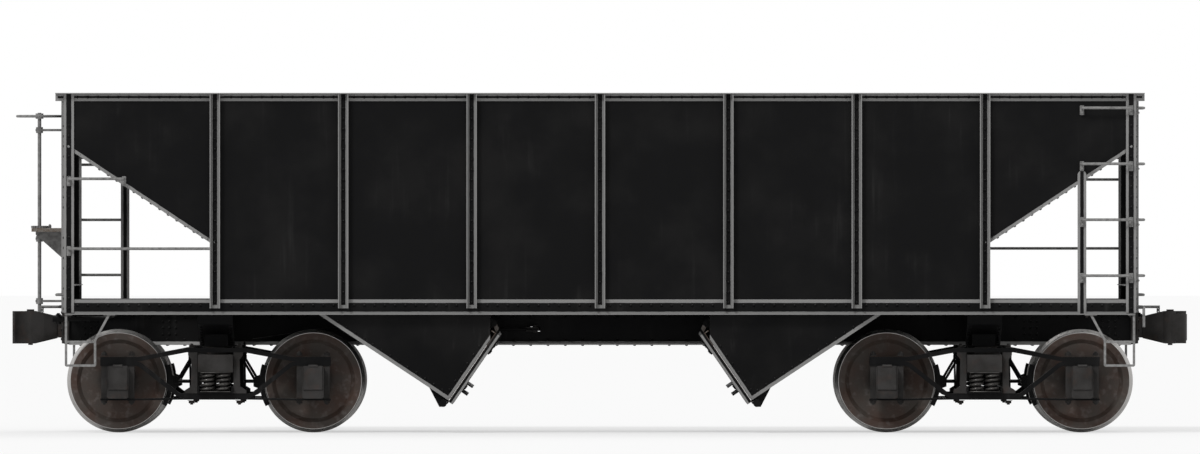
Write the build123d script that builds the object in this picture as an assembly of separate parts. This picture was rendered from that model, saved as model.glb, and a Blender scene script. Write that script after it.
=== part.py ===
from build123d import *
import os
from math import cos, degrees, hypot, radians, sin, tan

# Two-bay open hopper wagon of about 1915, 30 ft long inside, on two arch-bar trucks.
# Millimetres. +X runs along the track, +Y across it, +Z up. The origin is under the middle
# of the wagon, level with the lowest point of the wheel flanges. Heights on the drawing are
# above the rail head, so they are given here as RAIL plus a height.

# Wheels, axles and track
FLANGE_HEIGHT = 25
RAIL = FLANGE_HEIGHT
WHEEL_RADIUS = 419
BACK_TO_BACK = 1355
RIM_WIDTH = 137
FLANGE_WIDTH = 30
RIM_DEPTH = 62
HUB_RADIUS = 128
HUB_LENGTH = 172
WEB_THICKNESS = 26
WHEEL_RIBS = 12
RIB_THICKNESS = 15
AXLE_SEAT_RADIUS = 89
AXLE_BODY_RADIUS = 80
JOURNAL_RADIUS = 70
JOURNAL_LENGTH = 244
COLLAR_LENGTH = 14
COLLAR_RADIUS = 78
WHEELBASE = 1676
JOURNAL_CENTRE_Y = 978
RUNNING_FIT = 0.3
PRESS_FIT_GAP = 0.05

# Body
INSIDE_LENGTH = 9144
INSIDE_WIDTH = 2515
SHEET = 6
LEG = 8
SILL_HEIGHT = 990
BODY_HEIGHT = 1900
CHORD_DEPTH = 70
CHORD_WIDTH = 76
END_OVERHANG = 89
SILL_DEPTH = 130
SILL_WIDTH = 90
END_PANEL = 1272
POSTS_EACH_WAY = 3
POST_WIDTH = 88
POST_DEPTH = 60
POST_RISE = 54
CORNER_WIDTH = 88
CORNER_LEG = 10
CORNER_RISE = 15
END_SILL_DEPTH = 254
END_SILL_FLANGE = 80
END_POST_Y = 420

# Hopper bays
TIP_X = 1300
TIP_HEIGHT = 255
SLOPE_ANGLE = 33.5
SLOPE_EDGE_BAR = 29
DOOR_ANGLE = 34.5
RIDGE_ANGLE = 40
APRON_X = 942
APRON_FOOT_HEIGHT = 870
RIDGE_FOOT_HEIGHT = 985
HINGE_X = 912
HINGE_HEIGHT = 912
CHUTE_FOOT_Y = 1150
CHUTE_INNER_Y = 262
HOOD_RISE = 268
DOOR_GAP = 5
DOOR_SHEET = 8
DOOR_DEPTH = 44
DOOR_LENGTH = 706
DOOR_SIDE_LAP = 20
HINGE_YS = (430, 1090)
HINGE_PIN_RADIUS = 12
HINGE_EYE_RADIUS = 24
LOCK_SHAFT_BACK = 45
LOCK_SHAFT_DROP = 25
LOCK_SHAFT_RADIUS = 22
LOCK_HANGER_YS = (310, 700, 1090)

# Centre sill, body bolsters, draft gear and couplers
CENTRE_SILL_HEIGHT = 724
CENTRE_SILL_DEPTH = 305
SILL_WEB_Y = 158
SILL_WEB = 10
SILL_FLANGE_REACH = 70
SILL_FLANGE = 12
COUPLER_HEIGHT = 876
SHANK_WIDTH = 127
SHANK_DEPTH = 178
HEAD_DEPTH = 280
HEAD_LENGTH = 311
HORN_GAP = 45
STRIKER_REACH = 55
DRAFT_POCKET = 270
BOLSTER_PLATE = 12
BODY_BOLSTER_WIDTH = 300
BOLSTER_ARM_RISE = 115
BOLSTER_KNEE = (157, 85)
GIRDER_FLANGE = 18
GIRDER_WEB = 60
JACK_PAD = 90
STRUT_Y = 700
STRUT_SIZE = (88, 80)
STRUT_FOOT_RISE = 65
FLOOR_BEAM = 90

# Trucks
CENTRE_PLATE_HEIGHT = 665
CENTRE_PLATE_RADIUS = 127
KING_PIN_RADIUS = 22
BAR_WIDTH = 114
BAR_THICKNESS = 38
TIE_THICKNESS = 16
BOX_TOP = 131
BOX_BOTTOM = 150
BOLSTER_TOP = 645
BOLSTER_DEPTH = 150
BOLSTER_MIDDLE_DEPTH = 235
BOLSTER_WIDTH = 300
BOLSTER_LENGTH = 2190
SIDE_BEARING_Y = 635
SIDE_BEARING_GAP = 6
FRAME_TOP = 703
FRAME_BOTTOM = 275
COLUMN_GAP = 5
COLUMN_WIDTH = 130
PLANK = 12
PLANK_FLANGE = 60
PLANK_REACH = 1085
SPRING_RADIUS = 64
SPRING_CORE = 50
SPRING_TURNS = 4
SPRING_SPACING = 66
SPRING_CAP = 8

# Brake beams, shoes and levers of the trucks. Places are pairs of Y and height.
SHOE_GAP = 6
SHOE_THICKNESS = 40
SHOE_YS = (720, 805)
SHOE_SPREAD = (162, 208)
BEAM_BACK = 496
BEAM_HALF = 20
BEAM_HEIGHT = 410
BEAM_LENGTH = 1610
TRUSS_RADIUS = 11
HANGER_Y = 640
LEVER_WIDTH = 56
LEVER_THICKNESS = 16
LEVER_LOW = (-118, 312)
LEVER_TOP = (330, 780)
FULCRUM = (200, 644)

# Brake gear on the body
CYLINDER_Y = 480
CYLINDER_HEIGHT = 860
CYLINDER_RADIUS = 118
ROD_Y = 205
ROD_RADIUS = 13
LEVER_REACH_Y = 650
LEVER_A_X = -560
LEVER_B_X = 570
LEVER_SLOT_GAP = 14
ROD_GUIDE_X = 1050
ROD_GUIDE_BACK = 1400
ROD_BEND_BACK = 950
PIPE_RADIUS = 21
COCK_Y = 330
COCK_DROP = 40
COCK_REACH = 60
COCK_BORE = 17.5
BRAKE_WHEEL_RADIUS = 203
BRAKE_WHEEL_DROP = 190
BRAKE_WHEEL_SPOKES = 5
BRAKE_STEP_DROP = 1190
BRAKE_STEP_LENGTH = 660
BRAKE_STEP_THICKNESS = 32
BRACKET_DEPTH = 220
BRACKET_EDGE = 24
STAFF_RADIUS = 16
STAFF_Y = 500

# Fittings
GRAB_RADIUS = 12
GRAB_STAND_OFF = 66
RUNGS = 4
LOWEST_RUNG_RISE = 334
TOP_RUNG_DROP = 128
LONG_GRAB_RISE = 565
SHORT_GRAB_LENGTH = 473
SHORT_GRAB_LAP = 90
STILE_INSET = 456
STILE_WIDTH = 75
STILE_LAP = 96
END_STILE_Y = 800
SILL_GRAB_YS = (640, 1120)
SILL_GRAB_RISE = 170
STEP_STRAP = 20
STEP_WIDTH = 52
STEP_LENGTH = 269
STEP_SPREAD = 390
STEP_DROP = 446
STEP_MIDDLE_DROP = 223
UNCOUPLING_ROD_RADIUS = 12

# Places worked out from the sizes above
SILL_Z = RAIL + SILL_HEIGHT
TOP_Z = SILL_Z + BODY_HEIGHT
SIDE_IN = INSIDE_WIDTH / 2
SIDE_OUT = SIDE_IN + SHEET
FRAME_Y = SIDE_OUT + LEG
END_IN = INSIDE_LENGTH / 2
END_OUT = END_IN + SHEET
FRAME_X = END_OUT + LEG
CHORD_END = END_OUT + END_OVERHANG
POST_PITCH = (END_IN - END_PANEL) / POSTS_EACH_WAY
TRUCK_X = END_IN - END_PANEL
TIP_Z = RAIL + TIP_HEIGHT
HINGE_Z = RAIL + HINGE_HEIGHT
RIDGE_Z = RAIL + RIDGE_FOOT_HEIGHT
APRON_Z = RAIL + APRON_FOOT_HEIGHT
CENTRE_SILL_Z = RAIL + CENTRE_SILL_HEIGHT
CENTRE_SILL_TOP = CENTRE_SILL_Z + CENTRE_SILL_DEPTH
SILL_FLANGE_Y = SILL_WEB_Y + SILL_WEB + SILL_FLANGE_REACH
HOOD_Z = CENTRE_SILL_TOP + SHEET
CHUTE_OUTER_Y = CHUTE_INNER_Y + SHEET
AXLE_Z = RAIL + WHEEL_RADIUS
WHEEL_BACK_Y = BACK_TO_BACK / 2
PLATE_Z = RAIL + CENTRE_PLATE_HEIGHT
COUPLER_Z = RAIL + COUPLER_HEIGHT
POST_XS = [POST_PITCH * n for n in range(-POSTS_EACH_WAY, POSTS_EACH_WAY + 1)]
SLOPE_TAN = tan(radians(SLOPE_ANGLE))
LOCK_SHAFT_X = TIP_X + LOCK_SHAFT_BACK
LOCK_SHAFT_Z = TIP_Z - LOCK_SHAFT_DROP
TIE_TOP = CENTRE_SILL_TOP + BOLSTER_PLATE
JACK_PAD_Z = SILL_Z - BOLSTER_PLATE
STRIKER_X = FRAME_X + STRIKER_REACH
HORN_X = STRIKER_X + HORN_GAP
PULL_X = HORN_X + HEAD_LENGTH
KNUCKLE_PIVOT = (PULL_X - 78, -102)

BOX_X = WHEELBASE / 2
BOX_TOP_Z = AXLE_Z + BOX_TOP
BOX_BOTTOM_Z = AXLE_Z - BOX_BOTTOM
BAR_END = BOX_X + 150
BAR_FLAT = BOX_X - 178
BOLSTER_TOP_Z = RAIL + BOLSTER_TOP
PLANK_Z = RAIL + FRAME_BOTTOM + BAR_THICKNESS
BEAM_X = BOX_X - BEAM_BACK
BEAM_Z = RAIL + BEAM_HEIGHT
LEVER_X = (BOLSTER_WIDTH / 2 + BEAM_X - BEAM_HALF) / 2

POST_FACE_Y = -FRAME_Y - CORNER_LEG
POST_FACE_X = FRAME_X + CORNER_LEG
POST_FOOT_X = POST_FACE_X - CORNER_WIDTH / 2
POST_FOOT_Y = POST_FACE_Y + CORNER_WIDTH / 2
GRAB_OUT_Y = POST_FACE_Y - GRAB_STAND_OFF
GRAB_OUT_X = POST_FACE_X + GRAB_STAND_OFF
CYLINDER_Z = RAIL + CYLINDER_HEIGHT
PIPE_Z = TIE_TOP + 3 + PIPE_RADIUS
COCK_X = FRAME_X + COCK_REACH
COCK_Z = SILL_Z - COCK_DROP
STAFF_X = FRAME_X + POST_DEPTH - LEG + BRAKE_WHEEL_RADIUS + 12
STAFF_TOP = TOP_Z - BRAKE_WHEEL_DROP
BRAKE_STEP_Z = TOP_Z - BRAKE_STEP_DROP


def slope_z(x):
    """Height of the slope sheet's underside."""
    return TIP_Z + (abs(x) - TIP_X) * SLOPE_TAN


def slope_x(z):
    """Where the slope sheet's underside has that height, on the +X side."""
    return TIP_X + (z - TIP_Z) / SLOPE_TAN


STILE_X = FRAME_X - STILE_INSET
STILE_TOP = slope_z(STILE_X) + STILE_LAP
LOWEST_RUNG_Z = SILL_Z + LOWEST_RUNG_RISE
RUNG_PITCH = (TOP_Z - TOP_RUNG_DROP - LOWEST_RUNG_Z) / (RUNGS - 1)
RUNG_ZS = [LOWEST_RUNG_Z + RUNG_PITCH * n for n in range(RUNGS)]


def prism_xz(points, y_low, y_high):
    """A solid with an outline in X and Z, from y_low to y_high."""
    outline = Polyline(*[(x, y_low, z) for x, z in points], close=True)
    return extrude(make_face(outline), amount=y_high - y_low, dir=(0, 1, 0))


def prism_yz(points, x_low, x_high):
    """A solid with an outline in Y and Z, from x_low to x_high."""
    outline = Polyline(*[(x_low, y, z) for y, z in points], close=True)
    return extrude(make_face(outline), amount=x_high - x_low, dir=(1, 0, 0))


def prism_xy(points, z_low, z_high):
    """A solid with an outline in X and Y, from z_low to z_high."""
    outline = Polyline(*[(x, y, z_low) for x, y in points], close=True)
    return extrude(make_face(outline), amount=z_high - z_low, dir=(0, 0, 1))


def block(x_range, y_range, z_range):
    """A box between pairs of coordinates."""
    size = [high - low for low, high in (x_range, y_range, z_range)]
    middle = [(high + low) / 2 for low, high in (x_range, y_range, z_range)]
    return Pos(*middle) * Box(*size)


def rod(start, end, radius):
    """A round bar from one point to another."""
    axis = Vector(*end) - Vector(*start)
    place = Plane(origin=start, z_dir=axis)
    return place * Cylinder(radius, axis.length, align=(Align.CENTER, Align.CENTER, Align.MIN))


def bent_rod(points, radius, bend):
    """A round bar bent along a route."""
    path = FilletPolyline(*points, radius=bend)
    start = Plane(origin=points[0], z_dir=Vector(*points[1]) - Vector(*points[0]))
    return sweep(start * Circle(radius), path)


def ribbon(points, thickness):
    """Outline of a strip that lies on the left of a route, with mitred corners."""
    normals = []
    for (x0, z0), (x1, z1) in zip(points, points[1:]):
        run = hypot(x1 - x0, z1 - z0)
        normals.append((-(z1 - z0) / run, (x1 - x0) / run))
    far_side = []
    for place, (x, z) in enumerate(points):
        before = normals[max(place - 1, 0)]
        after = normals[min(place, len(normals) - 1)]
        share = thickness / (1 + before[0] * after[0] + before[1] * after[1])
        far_side.append((x + (before[0] + after[0]) * share, z + (before[1] + after[1]) * share))
    return points + far_side[::-1]


def other_end(shape):
    """The same piece turned half a turn about the wagon's vertical axis."""
    return Rot(0, 0, 180) * shape


def mirror_y(shape):
    return mirror(shape, Plane.XZ)


def mirror_x(shape):
    return mirror(shape, Plane.YZ)


def all_corners(shape):
    """A piece at the +X, -Y corner repeated at the four corners by mirroring."""
    pair = [shape, mirror_y(shape)]
    return pair + [mirror_x(piece) for piece in pair]


def both_sides(shape):
    return [shape, mirror_y(shape)]


def both_ends(shape):
    return [shape, mirror_x(shape)]


def chute_y(z):
    """Inner face of the chutes' outer walls, which lean in below the side sill."""
    lean = (SIDE_IN - CHUTE_FOOT_Y) / (SILL_Z - TIP_Z)
    return SIDE_IN - (SILL_Z - z) * lean


def floor_outline():
    """Outline in Y and Z that trims the slope and ridge sheets to the sides and over the centre sill."""
    foot = TIP_Z - 60
    half = [
        (0, HOOD_Z + HOOD_RISE),
        (CHUTE_OUTER_Y, HOOD_Z),
        (CHUTE_OUTER_Y, foot),
        (chute_y(foot), foot),
        (SIDE_IN, SILL_Z),
        (SIDE_IN, TOP_Z),
    ]
    return half + [(-y, z) for y, z in half[:0:-1]]


def angle_bar(leg_y, leg_z, thickness, x_low, x_high, corner, out, up):
    """A rolled angle along X. Its legs leave the corner outwards and along Z."""
    y, z = corner
    outline = [
        (y, z),
        (y + out * leg_y, z),
        (y + out * leg_y, z + up * thickness),
        (y + out * thickness, z + up * thickness),
        (y + out * thickness, z + up * leg_z),
        (y, z + up * leg_z),
    ]
    return prism_yz(outline, x_low, x_high)


# Sides

def side_sheet():
    """One side's plate, cut back along the slope sheet in the end panels, with an edge bar there."""
    last_post = TRUCK_X
    half = [
        (END_IN, TOP_Z - LEG),
        (END_IN, slope_z(END_IN)),
        (last_post, slope_z(last_post)),
        (last_post, SILL_Z),
    ]
    outline = half + [(-x, z) for x, z in half[::-1]]
    sheet = prism_xz(outline, -SIDE_OUT, -SIDE_IN)
    low, high = last_post + POST_WIDTH / 2, END_OUT - CORNER_WIDTH + LEG
    bar = SLOPE_EDGE_BAR / cos(radians(SLOPE_ANGLE))
    edge = [
        (low, slope_z(low)),
        (high, slope_z(high)),
        (high, slope_z(high) + bar),
        (low, slope_z(low) + bar),
    ]
    bars = both_ends(prism_xz(edge, -FRAME_Y, -SIDE_OUT))
    return sheet + bars


def side_post(x):
    """A channel stake with its open side outwards, packed out from the sheet between chord and sill."""
    low, high = x - POST_WIDTH / 2, x + POST_WIDTH / 2
    outline = [
        (low, -FRAME_Y),
        (low, -FRAME_Y - POST_DEPTH),
        (low + LEG, -FRAME_Y - POST_DEPTH),
        (low + LEG, -FRAME_Y - LEG),
        (high - LEG, -FRAME_Y - LEG),
        (high - LEG, -FRAME_Y - POST_DEPTH),
        (high, -FRAME_Y - POST_DEPTH),
        (high, -FRAME_Y),
    ]
    stake = prism_xy(outline, SILL_Z + POST_RISE, TOP_Z - LEG)
    filler = block((low, high), (-FRAME_Y, -SIDE_OUT), (SILL_Z + SILL_DEPTH, TOP_Z - CHORD_DEPTH))
    return stake + filler


def corner_post():
    """An angle round the corner, outside the chords and sills, coped for the end of the side chord."""
    side_y, end_x = -FRAME_Y, FRAME_X
    outline = [
        (end_x + CORNER_LEG, side_y - CORNER_LEG),
        (end_x + CORNER_LEG - CORNER_WIDTH, side_y - CORNER_LEG),
        (end_x + CORNER_LEG - CORNER_WIDTH, side_y),
        (end_x, side_y),
        (end_x, side_y - CORNER_LEG + CORNER_WIDTH),
        (end_x + CORNER_LEG, side_y - CORNER_LEG + CORNER_WIDTH),
    ]
    angle = prism_xy(outline, SILL_Z + CORNER_RISE, TOP_Z - LEG)
    angle -= block((end_x, CHORD_END), (-FRAME_Y, -SIDE_OUT), (TOP_Z - CHORD_DEPTH, TOP_Z))
    x_low = end_x + CORNER_LEG - CORNER_WIDTH
    side_filler = block((x_low, END_IN), (-FRAME_Y, -SIDE_OUT), (slope_z(END_IN), TOP_Z - CHORD_DEPTH))
    return angle + side_filler


def side_chord():
    """An angle along the top of the side, run out past the corners at its full depth."""
    outer = SIDE_OUT + CHORD_WIDTH
    top = block((-CHORD_END, CHORD_END), (-outer, -SIDE_IN), (TOP_Z - LEG, TOP_Z))
    leg = block((-CHORD_END, CHORD_END), (-FRAME_Y, -SIDE_OUT), (TOP_Z - CHORD_DEPTH, TOP_Z - LEG))
    return top + leg


def end_chord():
    top = block((END_IN, CHORD_END), (-SIDE_IN, SIDE_IN), (TOP_Z - LEG, TOP_Z))
    leg = block((END_OUT, FRAME_X), (-SIDE_OUT, SIDE_OUT), (TOP_Z - CHORD_DEPTH, TOP_Z - LEG))
    return top + leg


def side_sill():
    return angle_bar(SILL_WIDTH, SILL_DEPTH, LEG, -FRAME_X, FRAME_X, (-SIDE_OUT, SILL_Z), -1, 1)


def end_sill():
    """A channel across the end with its flanges inwards, notched over the centre sill."""
    top = SILL_Z + END_SILL_DEPTH
    low = END_OUT - END_SILL_FLANGE
    outline = [
        (FRAME_X, SILL_Z),
        (FRAME_X, top),
        (low, top),
        (low, top - LEG),
        (END_OUT, top - LEG),
        (END_OUT, SILL_Z + LEG),
        (low, SILL_Z + LEG),
        (low, SILL_Z),
    ]
    beam = prism_xz(outline, -SIDE_OUT, SIDE_OUT)
    notch = block((low - 1, END_OUT), (-CHUTE_INNER_Y, CHUTE_INNER_Y), (SILL_Z - 1, CENTRE_SILL_TOP))
    return beam - notch


def end_sheet():
    return block((END_IN, END_OUT), (-SIDE_OUT, SIDE_OUT), (slope_z(END_IN) - 2 * SHEET, TOP_Z - LEG))


def end_post(y):
    """A channel stake up the end, open outwards, packed out from the end sheet."""
    low, high = y - POST_WIDTH / 2, y + POST_WIDTH / 2
    outline = [
        (FRAME_X, low),
        (FRAME_X + POST_DEPTH - LEG, low),
        (FRAME_X + POST_DEPTH - LEG, low + LEG),
        (FRAME_X + LEG, low + LEG),
        (FRAME_X + LEG, high - LEG),
        (FRAME_X + POST_DEPTH - LEG, high - LEG),
        (FRAME_X + POST_DEPTH - LEG, high),
        (FRAME_X, high),
    ]
    stake = prism_xy(outline, SILL_Z + CORNER_RISE, TOP_Z - LEG)
    foot = slope_z(END_IN) - 2 * SHEET
    filler = block((END_OUT, FRAME_X), (low, high), (foot, TOP_Z - CHORD_DEPTH))
    return stake + filler


# Hopper floor, chutes and doors

def slope_sheet():
    outline = ribbon([(TIP_X, TIP_Z), (END_IN, slope_z(END_IN))], SHEET)
    slab = prism_xz(outline, -SIDE_IN, SIDE_IN)
    trim = prism_yz(floor_outline(), TIP_X - 100, END_IN)
    return slab & trim


def cross_ridge():
    """The inverted V between the bays, with an apron down to each row of door hinges."""
    peak = RIDGE_Z + APRON_X * tan(radians(RIDGE_ANGLE))
    route = [(-APRON_X, APRON_Z), (-APRON_X, RIDGE_Z), (0, peak), (APRON_X, RIDGE_Z), (APRON_X, APRON_Z)]
    slab = prism_xz(ribbon(route, SHEET), -SIDE_IN, SIDE_IN)
    trim = prism_yz(floor_outline(), -2 * APRON_X, 2 * APRON_X)
    return slab & trim


def ridge_x(z):
    """Where the underside of the cross ridge has that height."""
    return APRON_X - (z - RIDGE_Z) / tan(radians(RIDGE_ANGLE))


def sill_hood():
    """The inverted V over the centre sill inside one bay."""
    top = HOOD_Z + HOOD_RISE
    side = CHUTE_OUTER_Y
    thick = SHEET * hypot(1, 1)
    vee = [
        (-side, HOOD_Z),
        (-side + thick, HOOD_Z),
        (0, top - thick),
        (side - thick, HOOD_Z),
        (side, HOOD_Z),
        (0, top),
    ]
    span = [
        (ridge_x(HOOD_Z), HOOD_Z),
        (slope_x(HOOD_Z), HOOD_Z),
        (slope_x(top), top),
        (ridge_x(top), top),
    ]
    return prism_yz(vee, 0, END_IN) & prism_xz(span, -side, side)


def on_door_line(distance):
    """A point up the sloping edge that the door closes against."""
    return (
        TIP_X - distance * sin(radians(DOOR_ANGLE)),
        TIP_Z + distance * cos(radians(DOOR_ANGLE)),
    )


def off_door_line(distance, depth):
    """A point up the door and out from its closing edge, away from the load."""
    x, z = on_door_line(distance)
    return (x - depth * cos(radians(DOOR_ANGLE)), z - depth * sin(radians(DOOR_ANGLE)))


def chute_outer_wall():
    side = [
        (-SIDE_IN, SILL_Z),
        (-SIDE_OUT, SILL_Z),
        (-chute_y(TIP_Z - 60) - SHEET, TIP_Z - 60),
        (-chute_y(TIP_Z - 60), TIP_Z - 60),
    ]
    outline = [(TIP_X, TIP_Z), (slope_x(SILL_Z), SILL_Z), (APRON_X, SILL_Z)]
    outline += [on_door_line((TIP_X - APRON_X) / sin(radians(DOOR_ANGLE)))]
    return prism_yz(side, 0, END_IN) & prism_xz(outline, -SIDE_OUT - SHEET, 0)


def chute_inner_wall():
    back = (TIP_X - APRON_X) / sin(radians(DOOR_ANGLE))
    outline = [
        (TIP_X, TIP_Z),
        (slope_x(HOOD_Z), HOOD_Z),
        (ridge_x(HOOD_Z), HOOD_Z),
        (APRON_X, RIDGE_Z),
        on_door_line(back),
    ]
    return prism_xz(outline, -CHUTE_OUTER_Y, -CHUTE_INNER_Y)


def door_leaf():
    """One door: a plate with its edges turned away from the load, and a lip under the apron."""
    low, high = -10, DOOR_LENGTH
    inner, plate, outer = DOOR_GAP, DOOR_GAP + DOOR_SHEET, DOOR_GAP + DOOR_DEPTH
    box = [
        off_door_line(low, inner),
        off_door_line(high, inner),
        off_door_line(high, outer),
        off_door_line(low, outer),
    ]
    tray = [
        off_door_line(low + DOOR_SHEET, plate),
        off_door_line(high - DOOR_SHEET, plate),
        off_door_line(high - DOOR_SHEET, outer + 1),
        off_door_line(low + DOOR_SHEET, outer + 1),
    ]
    lip = [
        off_door_line(high - DOOR_SHEET, plate),
        off_door_line(high - DOOR_SHEET, -33),
        off_door_line(high, -33),
        off_door_line(high, plate),
    ]

    def edges(inset):
        foot = TIP_Z - 60
        inner_y = CHUTE_INNER_Y - DOOR_SIDE_LAP / 2 + inset
        return [
            (-inner_y, foot),
            (-inner_y, SILL_Z),
            (-SIDE_IN - DOOR_SIDE_LAP + inset, SILL_Z),
            (-chute_y(foot) - DOOR_SIDE_LAP + inset, foot),
        ]

    reach = SIDE_IN + 2 * DOOR_SIDE_LAP
    leaf = prism_xz(box, -reach, 0) & prism_yz(edges(0), 0, END_IN)
    leaf -= prism_xz(tray, -reach, 0) & prism_yz(edges(DOOR_SHEET), 0, END_IN)
    leaf += prism_xz(lip, -reach, 0) & prism_yz(edges(DOOR_SIDE_LAP + SHEET), 0, END_IN)
    for share in (0.36, 0.70):
        rib_low = low + (high - low) * share
        rib = [
            off_door_line(rib_low, plate),
            off_door_line(rib_low + DOOR_SHEET, plate),
            off_door_line(rib_low + DOOR_SHEET, outer),
            off_door_line(rib_low, outer),
        ]
        leaf += prism_xz(rib, -reach, 0) & prism_yz(edges(DOOR_SHEET), 0, END_IN)
    return leaf


def door_strap(y):
    """A hinge strap up the back of the door, curled round the pin."""
    width = 40
    outer = DOOR_GAP + DOOR_DEPTH
    eye = rod((HINGE_X, y - width / 2, HINGE_Z), (HINGE_X, y + width / 2, HINGE_Z), HINGE_EYE_RADIUS)
    outline = [
        off_door_line(DOOR_LENGTH - 190, outer),
        off_door_line(DOOR_LENGTH - 190, outer + 14),
        off_door_line(DOOR_LENGTH + 8, outer + 14),
        (HINGE_X - HINGE_EYE_RADIUS, HINGE_Z),
        (HINGE_X + 4, HINGE_Z - HINGE_EYE_RADIUS + 3),
        off_door_line(DOOR_LENGTH, 18),
        off_door_line(DOOR_LENGTH, outer),
    ]
    hole = rod(
        (HINGE_X, y - width, HINGE_Z), (HINGE_X, y + width, HINGE_Z), HINGE_PIN_RADIUS + RUNNING_FIT
    )
    return prism_xz(outline, y - width / 2, y + width / 2) + eye - hole


def hopper_door():
    """Both doors of one bay, tied by a beam under the centre sill, so that they swing as one."""
    outer = DOOR_GAP + DOOR_DEPTH
    beam_low, beam_high, beam_depth, wall = 120, 210, 60, 10
    beam = [
        off_door_line(beam_low, outer),
        off_door_line(beam_low, outer + beam_depth),
        off_door_line(beam_low + wall, outer + beam_depth),
        off_door_line(beam_low + wall, outer + wall),
        off_door_line(beam_high - wall, outer + wall),
        off_door_line(beam_high - wall, outer + beam_depth),
        off_door_line(beam_high, outer + beam_depth),
        off_door_line(beam_high, outer),
    ]
    reach = CHUTE_FOOT_Y - 50
    door = prism_xz(beam, -reach, reach)
    leaf = door_leaf()
    for y in HINGE_YS:
        leaf += door_strap(-y)
    return door + leaf + mirror_y(leaf)


def hinge_bracket(y):
    """Two lugs on the apron with the pin between them."""
    lug, inner = 12, 27
    outline = [
        (APRON_X, APRON_Z + 2),
        (APRON_X, RIDGE_Z - 20),
        (HINGE_X, HINGE_Z + 34),
        (HINGE_X - 26, HINGE_Z + 18),
        (HINGE_X - 26, HINGE_Z - 12),
        (HINGE_X - 8, HINGE_Z - 26),
    ]
    lugs = [
        prism_xz(outline, y + inner, y + inner + lug),
        prism_xz(outline, y - inner - lug, y - inner),
    ]
    pin_half = inner + lug + 8
    return rod((HINGE_X, y - pin_half, HINGE_Z), (HINGE_X, y + pin_half, HINGE_Z), HINGE_PIN_RADIUS) + lugs


def lock_shaft():
    """The door lock shaft under the lip of the slope sheet, in its hangers."""
    reach = CHUTE_FOOT_Y + 55
    shaft = rod((LOCK_SHAFT_X, -reach, LOCK_SHAFT_Z), (LOCK_SHAFT_X, reach, LOCK_SHAFT_Z), LOCK_SHAFT_RADIUS)
    hanger = [
        (LOCK_SHAFT_X - 12, LOCK_SHAFT_Z - 32),
        (LOCK_SHAFT_X + 34, LOCK_SHAFT_Z - 32),
        (LOCK_SHAFT_X + 120, slope_z(LOCK_SHAFT_X + 120)),
        (LOCK_SHAFT_X + 10, slope_z(LOCK_SHAFT_X + 10)),
        (LOCK_SHAFT_X - 20, LOCK_SHAFT_Z + 8),
    ]
    for y in LOCK_HANGER_YS:
        for side in (-1, 1):
            shaft += prism_xz(hanger, side * y - 7, side * y + 7)
    for side in (-1, 1):
        collar = (LOCK_SHAFT_X, side * (reach - 30), LOCK_SHAFT_Z)
        shaft += rod(collar, (LOCK_SHAFT_X, side * (reach + 5), LOCK_SHAFT_Z), 32)
    return shaft


# Centre sill and body bolsters

def sill_channel():
    """The centre sill channel at +Y, its flanges outwards, with a slot for the brake lever."""
    low, high = CENTRE_SILL_Z, CENTRE_SILL_TOP - LEG
    web_in, web_out = SILL_WEB_Y, SILL_WEB_Y + SILL_WEB
    outline = [
        (web_in, low),
        (SILL_FLANGE_Y, low),
        (SILL_FLANGE_Y, low + SILL_FLANGE),
        (web_out, low + SILL_FLANGE),
        (web_out, high - SILL_FLANGE),
        (SILL_FLANGE_Y, high - SILL_FLANGE),
        (SILL_FLANGE_Y, high),
        (web_in, high),
    ]
    slot_x = LEVER_WIDTH / 2 + LEVER_SLOT_GAP
    slot_z = LEVER_THICKNESS / 2 + LEVER_SLOT_GAP
    slot = block(
        (LEVER_A_X - slot_x, LEVER_A_X + slot_x),
        (web_in - 1, web_out + 1),
        (CYLINDER_Z - slot_z, CYLINDER_Z + slot_z),
    )
    return prism_yz(outline, -END_OUT, END_OUT) - slot


def sill_cover():
    """The cover plate over both channels."""
    x_range, y_range = (-END_OUT, END_OUT), (-CHUTE_INNER_Y, CHUTE_INNER_Y)
    return block(x_range, y_range, (CENTRE_SILL_TOP - LEG, CENTRE_SILL_TOP))


def bolster_arm():
    """One arm of the body bolster: an I-shaped girder from the centre sill out to a flat for a jack."""
    inner, outer = SILL_FLANGE_Y, SIDE_IN
    knee_in, knee_drop = BOLSTER_KNEE
    plate_z = CENTRE_SILL_TOP - LEG
    girder = [
        (-inner, TIE_TOP),
        (-outer, SILL_Z + BOLSTER_ARM_RISE),
        (-outer, JACK_PAD_Z),
        (-outer + JACK_PAD, JACK_PAD_Z),
        (-outer + knee_in, SILL_Z - knee_drop),
        (-inner, CENTRE_SILL_Z),
    ]
    notch = [
        (-inner, plate_z),
        (-CHUTE_INNER_Y, plate_z),
        (-CHUTE_INNER_Y, CENTRE_SILL_TOP),
        (-inner, CENTRE_SILL_TOP),
    ]
    low, high = TRUCK_X - BODY_BOLSTER_WIDTH / 2, TRUCK_X + BODY_BOLSTER_WIDTH / 2
    arm = prism_yz(girder + notch, low, high)
    face = make_face(Polyline(*[(low, y, z) for y, z in girder], close=True))
    pocket_depth = (BODY_BOLSTER_WIDTH - GIRDER_WEB) / 2
    pocket = extrude(offset(face, -GIRDER_FLANGE, kind=Kind.INTERSECTION), amount=pocket_depth, dir=(1, 0, 0))
    return arm - pocket - Pos(BODY_BOLSTER_WIDTH - pocket_depth, 0, 0) * pocket


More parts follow.
